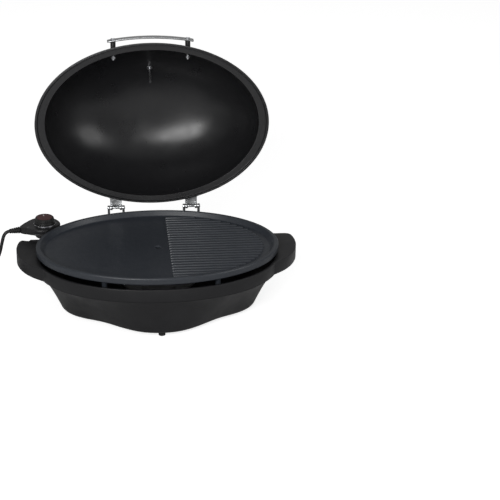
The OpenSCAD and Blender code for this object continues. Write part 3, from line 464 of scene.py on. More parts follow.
def polar(t, r, z):
    """Points at angles t and distances r from the Z axis, at height z."""
    return np.stack([r * np.cos(t), r * np.sin(t), np.full(len(t), z, float)], 1)


def oval_ring(a, b, z, count=AROUND):
    return polar(angles(count), 1, z) * (a, b, 1)


def full_reach(t, a, b, n=FULLNESS):
    """Distance to the edge of an oval, a true one where n is 2 and fuller where it is more."""
    return ((np.abs(np.cos(t)) / a) ** n + (np.abs(np.sin(t)) / b) ** n) ** (-1 / n)


def full_ring(a, b, z):
    t = angles(AROUND)
    return polar(t, full_reach(t, a, b), z)


def spun(corners, count=ROUND, solid=False, steps=4, share=lambda r: 1):
    """Turns an outline of (radius, height, rounding) corners round the Z axis. A solid one runs
    from the axis to the axis; share gives Y's part of a radius."""
    outline = rounded(corners, steps, not solid)
    return skin([oval_ring(r, r * share(r), z, count) for r, z in outline], not solid)


def rounded(corners, steps=4, closed=True):
    """An outline of (x, y, radius) corners with each corner turned into an arc."""
    out = []
    n = len(corners)
    for i, corner in enumerate(corners):
        p = Vector(corner[:2])
        r = corner[2] if len(corner) > 2 else 0
        if not r or (not closed and i in (0, n - 1)):
            out.append(tuple(p))
            continue
        a = Vector(corners[i - 1][:2]) - p
        b = Vector(corners[(i + 1) % n][:2]) - p
        half = a.angle(b) / 2
        reach = min(r / math.tan(half), 0.49 * a.length, 0.49 * b.length)
        r = reach * math.tan(half)
        a.normalize()
        b.normalize()
        centre = p + (a + b).normalized() * r / math.sin(half)
        start, end = p + a * reach - centre, p + b * reach - centre
        sweep = math.atan2(start.x * end.y - start.y * end.x, start.dot(end))
        for k in range(steps + 1):
            q = start.copy()
            q.rotate(Matrix.Rotation(sweep * k / steps, 2))
            out.append(tuple(centre + q))
    return out


def drawn_in(outline, inset):
    """An outline of (x, y) points moved inwards, square to its own edge."""
    p = np.asarray(outline, float)
    along = np.roll(p, -1, 0) - np.roll(p, 1, 0)
    along /= np.linalg.norm(along, axis=1)[:, None]
    return p + inset * np.stack([-along[:, 1], along[:, 0]], 1)


def quarter(count):
    """Steps round a quarter turn, each as what is left to go across and up."""
    return [(1 - math.cos(a), 1 - math.sin(a)) for a in np.linspace(0, math.pi / 2, count)]


def slab(outline, low, high, edge, steps):
    """A flat body over an outline, with its lower and upper edges rounded."""
    levels = [(edge * up, low + edge * across) for across, up in quarter(steps + 1)]
    levels += [(edge * across, high - edge * up) for across, up in quarter(steps + 1)]
    return skin([np.insert(drawn_in(outline, inset), 2, z, 1) for inset, z in levels])


def softened(node, edge):
    """A copy of a CAD node with its edges rounded, standing in its place."""
    mesh = frame["nodes"][node].data.copy()
    tool = bmesh.new()
    tool.from_mesh(mesh)
    bmesh.ops.remove_doubles(tool, verts=tool.verts, dist=1e-6)
    bmesh.ops.dissolve_limit(tool, angle_limit=math.radians(1), verts=tool.verts,
                             edges=tool.edges)
    tool.to_mesh(mesh)
    tool.free()
    piece = linked(node + "_form", mesh)
    bevel = piece.modifiers.new("edges", "BEVEL")
    bevel.width, bevel.segments = edge * MM, 2
    bevel.limit_method, bevel.angle_limit = "ANGLE", math.radians(40)
    return dress(worked_in(piece), node)


# ---- what repeats

class Growth:
    """A Geometry Nodes tree in the making: named sizes go in, finished geometry comes out."""

    def __init__(self, name, **sizes):
        self.tree = bpy.data.node_groups.new(name, "GeometryNodeTree")
        face = self.tree.interface
        face.new_socket("Shape", in_out="OUTPUT", socket_type="NodeSocketGeometry")
        sockets = {"Shape": "Geometry", "Seed": "Object", "Finish": "Material", **sizes}
        for label, kind in sockets.items():
            face.new_socket(label, in_out="INPUT", socket_type="NodeSocket" + kind)
        self.given = self.tree.nodes.new("NodeGroupInput").outputs

    def add(self, kind, inputs=(), **settings):
        return wired(self.tree, kind, inputs, **settings)[0]

    def sum(self, operation, a, b=0.0):
        return self.add("ShaderNodeMath", {0: a, 1: b}, operation=operation)

    def vector(self, x=0.0, y=0.0, z=0.0):
        return self.add("ShaderNodeCombineXYZ", {"X": x, "Y": y, "Z": z})

    def planted(self, points, **turns):
        """The seed on each point, as real geometry in its finish."""
        seed = wired(self.tree, "GeometryNodeObjectInfo", {"Object": self.given["Seed"]})
        stand = self.add("GeometryNodeInstanceOnPoints", {
            "Points": points, "Instance": seed["Geometry"], **turns})
        real = self.add("GeometryNodeRealizeInstances", {"Geometry": stand})
        done = self.add("GeometryNodeSetMaterial", {
            "Geometry": real, "Material": self.given["Finish"]})
        self.tree.links.new(done, self.tree.nodes.new("NodeGroupOutput").inputs["Shape"])
        return self.tree


def grown(name, growth, node, seed, place=None, carrier=None, sharp=32, finish=None,
          extra=False, **sizes):
    """Runs a tree on a piece of its own and keeps the result as a plain mesh."""
    piece = linked(name, carrier or bpy.data.meshes.new(name))
    sprout = linked(name + "_seed", plain_mesh(name + "_seed", *seed))
    sizes.update(Seed=sprout, Finish=FINISHES[finish or SLOT_OF[node]])
    modifier = piece.modifiers.new("growth", "NODES")
    modifier.node_group = growth
    for item in growth.interface.items_tree:
        if item.in_out == "INPUT" and item.name in sizes:
            modifier[item.identifier] = sizes[item.name]
    worked_in(piece)
    bpy.data.objects.remove(sprout)
    settle(piece.data, place)
    return dress(piece, node, sharp, finish, extra)


def ring_growth():
    """The seed at even steps on a circle, each turned to face outwards."""
    g = Growth("ring", Count="Int", Radius="Float", First="Float", Sweep="Float")
    step = g.sum("DIVIDE", g.given["Sweep"], g.sum("SUBTRACT", g.given["Count"], 1))
    turn = g.sum("MULTIPLY", g.add("GeometryNodeInputIndex"), step)
    angle = g.sum("ADD", g.given["First"], turn)
    x, y = (g.sum("MULTIPLY", g.sum(way, angle), g.given["Radius"]) for way in ("COSINE", "SINE"))
    points = g.add("GeometryNodePoints", {"Count": g.given["Count"], "Position": g.vector(x, y)})
    return g.planted(points, Rotation=g.vector(z=angle))


def row_growth():
    """The seed at even steps along Z, each a little smaller than the one before."""
    g = Growth("row", Count="Int", Pitch="Float", Taper="Float")
    index = g.add("GeometryNodeInputIndex")
    there = g.vector(z=g.sum("MULTIPLY", index, g.given["Pitch"]))
    wide = g.sum("SUBTRACT", 1.0, g.sum("MULTIPLY", index, g.given["Taper"]))
    points = g.add("GeometryNodePoints", {"Count": g.given["Count"], "Position": there})
    return g.planted(points, Scale=g.vector(wide, wide, 1.0))


def scatter_growth():
    """The seed on each point of the carrier, turned as the point says."""
    g = Growth("scatter")
    turn = g.add("GeometryNodeInputNamedAttribute", {"Name": "turn"}, data_type="FLOAT_VECTOR")
    return g.planted(g.given["Shape"], Rotation=turn)


def ridge_growth():
    """Bars across the plate, each as long as the oval allows."""
    g = Growth("ridges", Rows="Int", Pitch="Float", Gap="Float", Reach="Float", Depth="Float",
               Margin="Float")
    count = g.sum("ADD", g.sum("MULTIPLY", g.given["Rows"], 2), 1)
    row = g.sum("SUBTRACT", g.add("GeometryNodeInputIndex"), g.given["Rows"])
    y = g.sum("MULTIPLY", row, g.given["Pitch"])
    share = g.sum("DIVIDE", y, g.given["Depth"])
    half = g.sum("SQRT", g.sum("SUBTRACT", 1.0, g.sum("MULTIPLY", share, share)))
    end = g.sum("SUBTRACT", g.sum("MULTIPLY", half, g.given["Reach"]), g.given["Margin"])
    length = g.sum("SUBTRACT", end, g.given["Gap"])
    points = g.add("GeometryNodePoints", {
        "Count": count, "Position": g.vector(g.given["Gap"], y)})
    return g.planted(points, Scale=g.vector(length, 1.0, 1.0))


RING, ROW, SCATTER, RIDGES = ring_growth(), row_growth(), scatter_growth(), ridge_growth()


def fixed(name, places, seed, node, sharp=32):
    """One piece of the same small part at each place, turned as the place is."""
    mesh = plain_mesh(name, [p.translation for p in places], [])
    turn = mesh.attributes.new("turn", "FLOAT_VECTOR", "POINT")
    for i, p in enumerate(places):
        turn.data[i].vector = p.to_euler()
    return grown(name, SCATTER, node, seed, carrier=mesh, sharp=sharp)


# ---- the camera

def stand_camera():
    """The photograph's view: a long lens from the front, a little to the left and above."""
    aim = Vector((0, 0, 0.12))
    azimuth, elevation, roll = (math.radians(angle) for angle in (-2.59, 24.30, -0.53))
    distance, focal, image = 3.048, 1500, 500
    aim_column, aim_row = 158.04, 249.33
    back = Vector((math.sin(azimuth) * math.cos(elevation),
                   -math.cos(azimuth) * math.cos(elevation), math.sin(elevation)))
    aside = math.atan2(aim_column - image / 2, focal)
    above = math.atan2(image / 2 - aim_row, focal)
    camera = bpy.data.objects.new("camera", bpy.data.cameras.new("camera"))
    camera.data.sensor_width = 36
    camera.data.lens = focal / image * camera.data.sensor_width
    camera.data.clip_start, camera.data.clip_end = 0.1, 50
    camera.rotation_mode = "QUATERNION"
    camera.location = aim + back * distance
    camera.rotation_quaternion = (-back).to_track_quat("-Z", "Y")
    for axis, angle in (((0, 1, 0), aside), ((1, 0, 0), -above), ((0, 0, 1), roll)):
        camera.rotation_quaternion @= Quaternion(axis, angle)
    scene.collection.objects.link(camera)
    scene.camera = camera
    return camera


camera = stand_camera()


# ---- the mains lead

def smooth_path(points, steps):
    """Points along one smooth curve through the given ones."""
    p = np.asarray(points, float)
    out = []
    for i in range(len(p) - 1):
        a, b, c, d = p[max(0, i - 1)], p[i], p[i + 1], p[min(len(p) - 1, i + 2)]
        for t in np.arange(steps) / steps:
            out.append(0.5 * (2 * b + (c - a) * t + (2 * a - 5 * b + 4 * c - d) * t * t
                              + (3 * b - a - 3 * c + d) * t ** 3))
    return np.array(out + [p[-1]])


def coil_path():
    """The put-away turns: in towards the middle, up a layer, and out again."""
    total = 2 * COIL_TURNS
    t = np.arange(total * COIL_RINGS + 1) / COIL_RINGS
    angle = math.pi / 2 + TURN * t
    radius = COIL_R - COIL_PITCH * np.where(t < COIL_TURNS, t, total - t)
    climb = np.clip((t - COIL_TURNS + 0.25) / 0.5, 0, 1)
    x, y = COIL_AT[0] + radius * np.cos(angle), COIL_AT[1] + radius * np.sin(angle)
    turns = np.stack([x, y, CORD_R + COIL_PITCH * climb], 1)
    end = [[COIL_AT[0] - 2 * CORD_R, COIL_AT[1] + COIL_R, CORD_R + COIL_PITCH]]
    return np.concatenate([turns, end])


def cord_path():
    stretch = smooth_path(CORD_ROUTE, CORD_STEPS) + (-CONTROL_X, CONTROL_Y, 0)
    stretch[:, 2] = np.maximum(stretch[:, 2], CORD_R)
    return np.concatenate([stretch, coil_path()]) * MM


def lay_cord(path):
    curve = bpy.data.curves.new("mains_lead", "CURVE")
    curve.dimensions = "3D"
    curve.bevel_depth = CORD_R * MM
    curve.bevel_resolution = 5
    curve.use_fill_caps = True
    line = curve.splines.new("POLY")
    line.points.add(len(path) - 1)
    line.points.foreach_set("co", np.column_stack([path, np.ones(len(path))]).ravel())
    line.use_smooth = True
    curve.materials.append(FINISHES["cord_rubber"])
    lead = linked("mains_lead", curve)
    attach(lead, "control")
    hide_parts("cord", "cord_coil")
    return lead


def plug_body():
    """The moulded plug: a round neck that swells into a softly squared grip with grooves."""
    stations = [(0, 5.2, 5.2, 2), (4, 5.6, 5.6, 2), (9, 7.6, 7.2, 2.1), (13, 11.5, 9.6, 2.6),
                (16, 14.2, 11.4, 3.6), (18, 15, 12, 4.5), (21, 14.6, 11.4, 4.5),
                (23, 14.6, 11.4, 4.5), (26, 15, 12, 5), (35.5, 15, 12, 5), (37.2, 14.6, 11.6, 5),
                (38, 13.6, 10.8, 5)]
    t = angles(64)
    rings = [polar(t, full_reach(t, 1, 1, n), x)[:, [2, 0, 1]] * (1, half_y, half_z)
             for x, half_y, half_z, n in stations]
    return made("plug_grip", skin(rings), "plug_body", AT_PLUG, 50)


def relief_ribs():
    """The strain relief: a tapered sleeve with ribs that grow slimmer towards the lead."""
    place = AT_CONTROL @ shift(EXIT_X + 12, 0, EXIT_Z) @ turned(-90, "Y")
    core = spun([(0.01, 0), (4.3, 0, 0.5), (4.3, 12.4, 0.3), (5.2, 13), (3.9, 33.5, 0.8),
                 (3.75, 34.5), (0.01, 34.5)], 48, True)
    made("strain_relief_sleeve", core, "strain_relief", place, 40)
    rib = spun([(4.2, 13.1), (6.2, 13.1, 0.8), (6.95, 13.6, 0.8), (6.95, 15.9, 0.8),
                (6.2, 16.4, 0.8), (4.2, 16.4)], 48)
    grown("strain_relief_ribs", ROW, "strain_relief", rib, place, Count=5, Pitch=4.3,
          Taper=0.072, extra=True)


lead_path = cord_path()
lead = lay_cord(lead_path)
plug = plug_body()
blades = [softened(node, 0.25) for node in
          ("plug_blade_left", "plug_blade_right", "plug_ground_pin")]
lead_length = float(np.linalg.norm(np.diff(lead_path, axis=0), axis=1).sum())
relief_ribs()


# ---- the base

def circle_reach(across, up, x, y, radius):
    """Distance along rays to the far side of a circle, 0 where they miss it."""
    along, aside = across * x + up * y, across * y - up * x
    room = radius ** 2 - aside ** 2
    return np.where(room > 0, along + np.sqrt(np.maximum(room, 0)), 0)


def handle_reach(t, side, inset):
    """Distance to a handle's edge: a wide curve, cut off straight at the back, its corner
    rounded."""
    across, up = side * np.cos(t), np.sin(t)
    x = HANDLE_END - HANDLE_SWEEP
    sweep = circle_reach(across, up, x, HANDLE_MID, HANDLE_SWEEP - inset)
    back = (HANDLE_BACK - inset) / np.maximum(up, 1e-3)
    corner_y = HANDLE_BACK - HANDLE_BACK_R
    rise, arm = corner_y - HANDLE_MID, HANDLE_SWEEP - HANDLE_BACK_R
    corner_x = x + math.sqrt(arm ** 2 - rise ** 2)
    corner = circle_reach(across, up, corner_x, corner_y, HANDLE_BACK_R - inset)
    stretch = (HANDLE_SWEEP - inset) / arm
    first = math.atan2(HANDLE_MID + rise * stretch, x + (corner_x - x) * stretch)
    last = math.atan2(HANDLE_BACK - inset, corner_x)
    turn = np.arctan2(up, across)
    reach = np.where((turn > first) & (turn < last), corner, np.minimum(sweep, back))
    return np.where(across <= 0, 0, reach)


def ray_circle(t, centres, radius, far):
    """Where rays at angles t meet circles, their far or their near side; nan where they miss."""
    along = np.outer(np.cos(t), centres[:, 0]) + np.outer(np.sin(t), centres[:, 1])
    aside = np.outer(np.cos(t), centres[:, 1]) - np.outer(np.sin(t), centres[:, 0])
    room = radius ** 2 - aside ** 2
    chord = np.sqrt(np.where(room > 0, room, np.nan))
    return np.nanmax(along + chord, 1) if far else np.nanmin(along - chord, 1)


def blended(t, reach, radius):
    """Fills an outline's hollows with a round of the given radius."""
    out = ray_circle(t, polar(t, reach, 0), radius, True)
    return np.maximum(ray_circle(t, polar(t, out, 0), radius, False), reach)


def band():
    """The band round the bowl's mouth with its two handles, hollow below for the fingers."""
    t = angles(FINE)
    both = [handle_reach(t, side, 0) for side in (1, -1)]
    outer = blended(t, np.maximum.reduce([full_reach(t, BAND_A, BAND_B), *both]), HANDLE_BLEND)
    inner = full_reach(t, BAND_A - BAND_LIP, BAND_B - BAND_LIP)
    root = np.minimum(full_reach(t, BAND_A + WALL, BAND_B + WALL), outer)
    hollow = np.maximum(handle_reach(t, 1, WALL), handle_reach(t, -1, WALL))
    hollow = np.minimum(np.maximum(hollow, root), outer)
    deep = np.clip((hollow - root) / 1.5, 0, 1)
    ceiling = BAND_LOW + (BAND_TOP - SHELF_T - BAND_LOW) * deep
    low, high, edge = BAND_LOW, BAND_TOP, 1.1
    under = [(inner, low), (root, low), (root + 0.02, ceiling), (hollow - 0.02, ceiling),
             (hollow, low)]
    above = [(outer - 0.7, low), (outer - 0.2, low + 0.2), (outer, low + 0.7)]
    above += [(outer - edge * across, high - edge * up) for across, up in quarter(5)]
    above += [(inner + edge * up, high - edge * across) for across, up in quarter(5)]
    under, above = ([polar(t, d, z) for d, z in part] for part in (under, above))
    notch_for_control(above)
    made("band_and_handles", skin(under + above, loop=True), "base_band", sharp=38)


def notch_for_control(rings):
    """Lowers the band where the heat control's nose passes over it."""
    for ring in rings:
        x, y = carried(ring, AT_CONTROL.inverted())[:, :2].T
        depth = np.clip(NOSE_HALF + 2 - np.abs(y), 0, 1) * ((x > NOTCH_FROM) & (x < NOTCH_TO))
        floor = CASE_LOW - 1 - 0.001 * (ring[:, 2] - BAND_LOW)
        ring[:, 2] += np.minimum(floor - ring[:, 2], 0) * depth


def bottom_reach(t):
    """The bowl's bottom outline: a round waist that swells at the ends and front and back."""
    q = np.degrees(np.arcsin(np.abs(np.sin(t))))
    return (BOTTOM_WAIST + (BOTTOM_A - BOTTOM_WAIST) * np.exp(-(q / END_SWELL) ** 3)
            + (BOTTOM_B - BOTTOM_WAIST) * np.exp(-((90 - q) / FRONT_SWELL) ** 3))


def bowl():
    """The bowl's wall, drawn in from the band down to its bottom, and a neck under the band."""
    t = angles(AROUND)
    wide = full_reach(t, BAND_A - BOWL_STEP, BAND_B - BOWL_STEP)

    def ring(z, inset):
        s = min(1, max(0, (BAND_LOW - z) / (BAND_LOW - FOOT_H))) ** BOWL_POWER
        return polar(t, wide + (bottom_reach(t) - wide) * s - inset, z)

    def arc(low, radius, inset):
        return [ring(low + radius * across, inset + radius * up) for across, up in quarter(8)]

    walls = BAND_LOW - (BAND_LOW - FOOT_H - BOTTOM_R) * np.linspace(1, 0, 18)[1:] ** 1.5
    neck = BAND_LIP + 0.4
    mouth = BOWL_STEP + 2 * WALL
    steps = [full_ring(BAND_A - inset, BAND_B - inset, z)
             for inset, z in ((neck, BAND_LOW), (neck, LEDGE_Z), (mouth, LEDGE_Z))]
    rings = (arc(FOOT_H, BOTTOM_R, 0) + [ring(z, 0) for z in walls] + steps
             + [ring(z, WALL) for z in walls[-2::-1]]
             + arc(FOOT_H + WALL, BOTTOM_R - WALL, WALL)[::-1])
    made("bowl_shell", skin(rings), "base_bowl", sharp=38)


def heat_shield():
    """The pressed sheet under the plate, with a rolled rim and a stepped floor."""
    top, t = LEDGE_Z + SHIELD_T, SHIELD_T
    floor, rim = top - SHIELD_DEEP, SHIELD_A - 30
    outline = rounded([(0.5, floor), (SHIELD_R - 4, floor, 3), (SHIELD_R, floor + 1.2, 3),
                       (rim + t, LEDGE_Z, 5), (SHIELD_A, LEDGE_Z, 0.5), (SHIELD_A, top, 0.5),
                       (rim, top, 5), (SHIELD_R - t, floor + t + 0.8, 3),
                       (SHIELD_R - 10, floor + t, 3), (0.5, floor + t)], closed=False)
    rings = [full_ring(r, r * SHIELD_B / SHIELD_A, z) for r, z in outline]
    made("heat_shield_dish", skin(rings), "heat_shield", sharp=45)


def drip_tray():
    low = LEDGE_Z + 2 * SHIELD_T - SHIELD_DEEP + 0.2
    r, h, t = TRAY_R, TRAY_H, 1.2
    dish = spun([(0.5, 0), (r - 8, 0, 5), (r, h - t, 2), (r + 5, h - t, 0.5), (r + 5, h, 0.5),
                 (r - t, h, 2), (r - 8 - t, t, 4), (38, t, 2), (36, t + 0.8, 2),
                 (33, t + 0.8, 2), (31, t, 2), (0.5, t)], 144, True)
    made("drip_tray_dish", dish, "drip_tray", shift(0, 0, low), 45)


def feet():
    pad = spun([(3.4, 0, 0.3), (7, 0, 1), (6.7, 5.5, 1), (7, 7.95, 0.3), (1.8, 7.95), (1.8, 3),
                (3.4, 3)], 64)
    for side, (x, y) in FOOT_PLACES.items():
        made(f"foot_{side}_pad", pad, f"foot_{side}", shift(x, y, 0), 50)


bowl()
band()
heat_shield()
drip_tray()
feet()


# ---- screws and rivets

def cross_screw(head_r, head_h, shank_r, length, dome=0.35):
    """A pan-head screw along Z, its head below, with a cross recess cut into it."""
    t = angles(48)
    arm, deep = 0.16 * head_r, 0.55 * head_h
    rings = []
    for share in (0.0001, 0.3, 0.56, 0.6, 0.8, 0.93, 1.0, 1.0):
        ring = polar(t, head_r * share, dome * head_h * share ** 2)
        if share < 0.58:
            ring[np.abs(ring[:, :2]).min(1) < arm, 2] = deep
        rings.append(ring)
    rings[-1][:, 2] = head_h
    return skin(rings + [polar(t, shank_r, z) for z in (head_h, head_h + length)])


def rivet(head_r, head_h, shank_r, length):
    """A domed rivet along Z, head on top."""
    dome = [(head_r * math.cos(a), head_h * math.sin(a)) for a in np.linspace(0, 1.5, 7)]
    return spun([(0.01, -length), (shank_r, -length), (shank_r, 0), *dome, (0.01, head_h)], 32,
                True)


def fasteners():
    fixed("foot_screw_set", [shift(x, y, 0.8) for x, y in FOOT_PLACES.values()],
          cross_screw(3.2, 2.2, 1.75, 9), "foot_screws")
    ears = [shift(s * HINGE_X + e * EAR_X, HINGE_Y + 5, EAR_Z) @ turned(-90, "X")
            for s in (-1, 1) for e in (-1, 1)]
    fixed("mount_rivet_set", ears, rivet(3.6, 1.4, 2, 14), "mount_rivets")


fasteners()
for node, edge in (("hinge_mount_left", 0.5), ("hinge_mount_right", 0.5), ("hinge_pin_left", 0.5),
                   ("hinge_pin_right", 0.5), ("hinge_leaf_left", 0.4), ("hinge_leaf_right", 0.4)):
    softened(node, edge)


# ---- the cooking plate

def plate_share(r):
    """The oval's share of a radius, round at the drain hole and full oval from 60 mm out."""
    t = min(1, max(0, (r - DRAIN_R) / 54))
    return 1 + (PLATE_OVAL - 1) * t * t * (3 - 2 * t)


def cooking_plate():
    """The cast plate with its high rim, its drain hole and the four legs that it stands on."""
    lip, low = PLATE_R - RIM_LIP, LEDGE_Z + SHIELD_T
    dish = spun([(DRAIN_R + 0.6, UNDER_Z, 0.3), (60, UNDER_Z), (WELL_R, UNDER_Z, 3),
                 (lip, RIM_LOW, 2), (PLATE_R - 1.5, RIM_LOW, 1.2), (PLATE_R, RIM_LOW + 1.6, 1.6),
                 (PLATE_R, RIM_TOP - 2, 1.9), (PLATE_R - 2.4, RIM_TOP, 1.9), (lip, RIM_TOP, 2.2),
                 (WELL_R, COOK_Z, 5), (60, COOK_Z), (30, COOK_Z), (DRAIN_R + 2, COOK_Z, 1),
                 (DRAIN_R, COOK_Z - 1.2, 0.6), (DRAIN_R, UNDER_Z + 0.6)],
                AROUND, steps=6, share=plate_share)
    leg = spun([(0.01, low), (LEG_R, low, 0.8), (LEG_R, COOK_Z - 1), (0.01, COOK_Z - 1)], 48,
               True)
    legs = [moved(leg, shift(LEG_X * s, LEG_Y * e, 0)) for s, e in
            ((1, 1), (-1, 1), (-1, -1), (1, -1))]
    made("cooking_plate", joined(dish, *legs), "grill_plate", sharp=40)


def ridge_bar():
    """One ridge of unit length along X, rounded on top and sloping down at both ends."""
    half, h = RIDGE_W / 2, RIDGE_H
    across = rounded([(-half, -0.6), (half, -0.6), (half, 0), (half - 1, h, 1), (1 - half, h, 1),
                      (-half, 0)])
    rings = []
    for x, high in ((0, 0.05), (0.004, 0.55), (0.012, 0.85), (0.025, 1), (0.975, 1),
                    (0.988, 0.85), (0.996, 0.55), (1, 0.05)):
        rings.append([(x, y * (0.75 + 0.25 * high), z * high if z > 0 else z) for y, z in across])
    return skin(rings)


def ridges():
    well = WELL_R * PLATE_OVAL
    grown("plate_ridges", RIDGES, "grill_plate", ridge_bar(), shift(0, 0, COOK_Z), extra=True,
          Rows=int((well - RIDGE_PITCH) // RIDGE_PITCH), Pitch=float(RIDGE_PITCH),
          Gap=float(RIDGE_GAP), Reach=WELL_R - 8.0, Depth=well - 2, Margin=4.0)


def heater():
    """The heater tube, bent to a long loop under the plate, with its ends at the socket."""
    z, bend, half = UNDER_Z - 3, TUBE_BEND, TUBE_HALF
    ends = [(AT_CONTROL @ Vector((SOCKET_IN + 25, side * 13, 0))).xy for side in (1, -1)]
    run = np.linspace(-half, half, 9)
    right, left = (np.radians(np.linspace(*sweep, 25)[1:]) for sweep in
                   ((90, -90), (270, 90 + TUBE_OPEN)))
    path = np.array([ends[0], *((x, bend) for x in run),
                     *((half + bend * math.cos(a), bend * math.sin(a)) for a in right),
                     *((-x, -bend) for x in run[1:]),
                     *((bend * math.cos(a) - half, bend * math.sin(a)) for a in left), ends[1]])
    along = np.gradient(path, axis=0)
    along /= np.linalg.norm(along, axis=1)[:, None]
    t = angles(24)[:, None]
    rings = [np.hstack([p + TUBE_R * np.cos(t) * (-dy, dx), z + TUBE_R * np.sin(t)])
             for p, (dx, dy) in zip(path, along)]
    made("heater_tube_bend", skin(rings, flip=True), "heating_element", sharp=60)


cooking_plate()
ridges()
heater()
softened("probe_socket", 0.6)
softened("terminal_pins", 0.8)
fixed("socket_screw_set",
      [AT_CONTROL @ shift(SOCKET_IN + x, -SOCKET_ARM, UNDER_Z - 5) for x in SOCKET_SCREWS],
      cross_screw(2.8, 1.5, 1.45, 7), "socket_screws")


# ---- the heat control

def case_ring(z, inset=0.0):
    """The case's outline at one height, from the hull of its discs."""
    u, t = angles(360), angles(180)
    reach = np.full(360, -1e9)
    for x1, r1, z1 in CASE_DISCS:
        for x2, r2, z2 in CASE_DISCS:
            if z1 <= z <= z2:
                k = (z - z1) / max(z2 - z1, 1e-9)
                edge = (r1 - x1 * np.cos(u)) * (1 - k) + (r2 - x2 * np.cos(u)) * k
                reach = np.maximum(reach, edge)
    lean = np.cos(t[:, None] - u)
    far = (reach - inset + CASE_MIDDLE * np.cos(u)) / np.maximum(lean, 0.05)
    return polar(t, np.where(lean > 0.05, far, 1e9).min(1), z) - (CASE_MIDDLE, 0, 0)


def clear_of_plate(shape):
    """Pushes points that would stand in the plate's rim back out of it."""
    points, faces = moved(shape, AT_CONTROL)
    share = np.hypot(points[:, 0] / (PLATE_R + CASE_ROOM),
                     points[:, 1] / (PLATE_R * PLATE_OVAL + CASE_ROOM))
    push = np.where((share < 1) & (points[:, 2] > NOSE_TOP), share, 1)
    points[:, :2] /= push[:, None]
    return moved((points, faces), AT_CONTROL.inverted())


def case_roof(inset, share=1.0):
    """A ring of the cover's top, which falls a little towards the tail."""
    ring = case_ring(CASE_TOP - CASE_SIDE, inset)
    ring[:, :2] = (ring[:, :2] + (CASE_MIDDLE, 0)) * share - (CASE_MIDDLE, 0)
    edge = CASE_BACK + CASE_R
    fall = np.clip((-ring[:, 0] - edge) / (CASE_TAIL + TAIL_R - edge), 0, 1)
    ring[:, 2] = CASE_TOP - (CASE_TOP - TAIL_TOP) * fall
    return ring


def control_case():
    """The two halves of the case, round at the top edge and closer below, and the nose."""
    low, high, edge = CASE_SPLIT - 0.25, CASE_SPLIT + 0.25, 2.2
    base = [case_ring(z, inset) for z, inset in (
        (CASE_FOOT, 1.2), (CASE_FOOT + 0.1, 0.6), (CASE_FOOT + 0.45, 0.15), (CASE_FOOT + 1.2, 0),
        (CASE_FOOT + 3, 0), (low - 0.3, 0), (low, 0.3))]
    cover = [case_ring(z, inset) for z, inset in (
        (high, 0.3), (high + 0.3, 0), (127.2, 0), (129, 0), (130.2, 0), (130.8, 0.1),
        (131.4, 0.1))]
    for across, up in quarter(7):
        cover.append(case_roof(edge * across))
        cover[-1][:, 2] -= edge * up
    cover += [case_roof(edge, share) for share in (0.8, 0.5, 0.2)]
    made("control_cover_shell", clear_of_plate(skin(cover)), "control_cover", AT_CONTROL, 40)
    half, end = NOSE_HALF, NOSE_END
    nose = [(half * math.cos(a), half * math.sin(a))
            for a in np.linspace(math.pi / 2, 1.5 * math.pi, 40)]
    nose += rounded([(0, -half), (end, -half, 2), (end, half, 2), (0, half)])[1:-1]
    under = joined(clear_of_plate(skin(base)), slab(nose, CASE_LOW, NOSE_TOP, 0.8, 4))
    made("control_base_shell", under, "control_base", AT_CONTROL, 40)


def knob():
    """The knob with its grip ribs, and the red disc with a pointer on its top."""
    r, h = KNOB_R, KNOB_H
    place = AT_CONTROL @ shift(0, 0, KNOB_Z)
    low = CASE_SPLIT + 3 - KNOB_Z
    shell = spun([(0.01, low), (3, low), (3, 0), (r - 0.6, 0, 0.5), (r, 0.8, 0.6), (r, 2, 0.4),
                  (r - 1.3, 3, 0.5), (r - 1.9, h - 1.6, 0.8), (r - 3.4, h, 0.8),
                  (r - 4.3, h, 0.3), (r - 4.4, h - 1), (0.01, h - 1)], 120, True)
    made("knob_shell", shell, "knob", place, 45)
    rib = slab(rounded([(-0.6, -0.75, 0.35), (0.75, -0.75, 0.6), (0.75, 0.75, 0.6),
                        (-0.6, 0.75, 0.35)]), 3.0, h - 2.6, 0.45, 2)
    grown("knob_grip_ribs", RING, "knob", rib, place, sharp=50, extra=True, Count=KNOB_RIBS,
          Radius=r - 2.0, First=0.0, Sweep=TURN * (KNOB_RIBS - 1) / KNOB_RIBS)
    cap = spun([(0.01, 0), (r - 4.5, 0), (r - 4.5, 0.9, 0.5), (r - 6, 1.15, 0.8), (0.01, 1.2)],
               solid=True)
    made("knob_top_disc", cap, "knob_cap", place @ shift(0, 0, h - 1), 45)
    mark = slab(rounded([(-0.7, 5.5, 0.3), (0.7, 5.5, 0.3), (0.7, r - 6, 0.3),
                         (-0.7, r - 6, 0.3)]), h + 0.1, h + 0.32, 0.08, 2)
    made("knob_pointer", mark, "knob_cap", place, finish="white_print", extra=True)


def printed(half_x, half_y, low, high):
    """A thin printed bar."""
    corners = [(-half_x, -half_y), (half_x, -half_y), (half_x, half_y), (-half_x, half_y)]
    return slab(corners, low, high, 0.05, 1)


def dial_ring():
    """The silver ring round the knob, with printed marks on its slope."""
    r = KNOB_R + 2.5
    plate = spun([(3.1, -0.8), (r - 0.4, -0.8), (r, 0, 0.2), (r, 0.5, 0.4),
                  (r - 1.4, RING_H, 0.7), (3.1, RING_H)], 120)
    place = AT_CONTROL @ shift(0, 0, CASE_TOP)
    made("dial_ring_plate", plate, "dial_ring", place, 45)
    tick = moved(printed(0.9, 0.25, -0.05, 0.12), turned(55, "Y"))
    grown("dial_scale_marks", RING, "dial_ring", tick, place @ shift(0, 0, 1.45),
          finish="white_print", extra=True, Count=11, Radius=r - 0.72,
          First=math.radians(-135), Sweep=math.radians(-270))


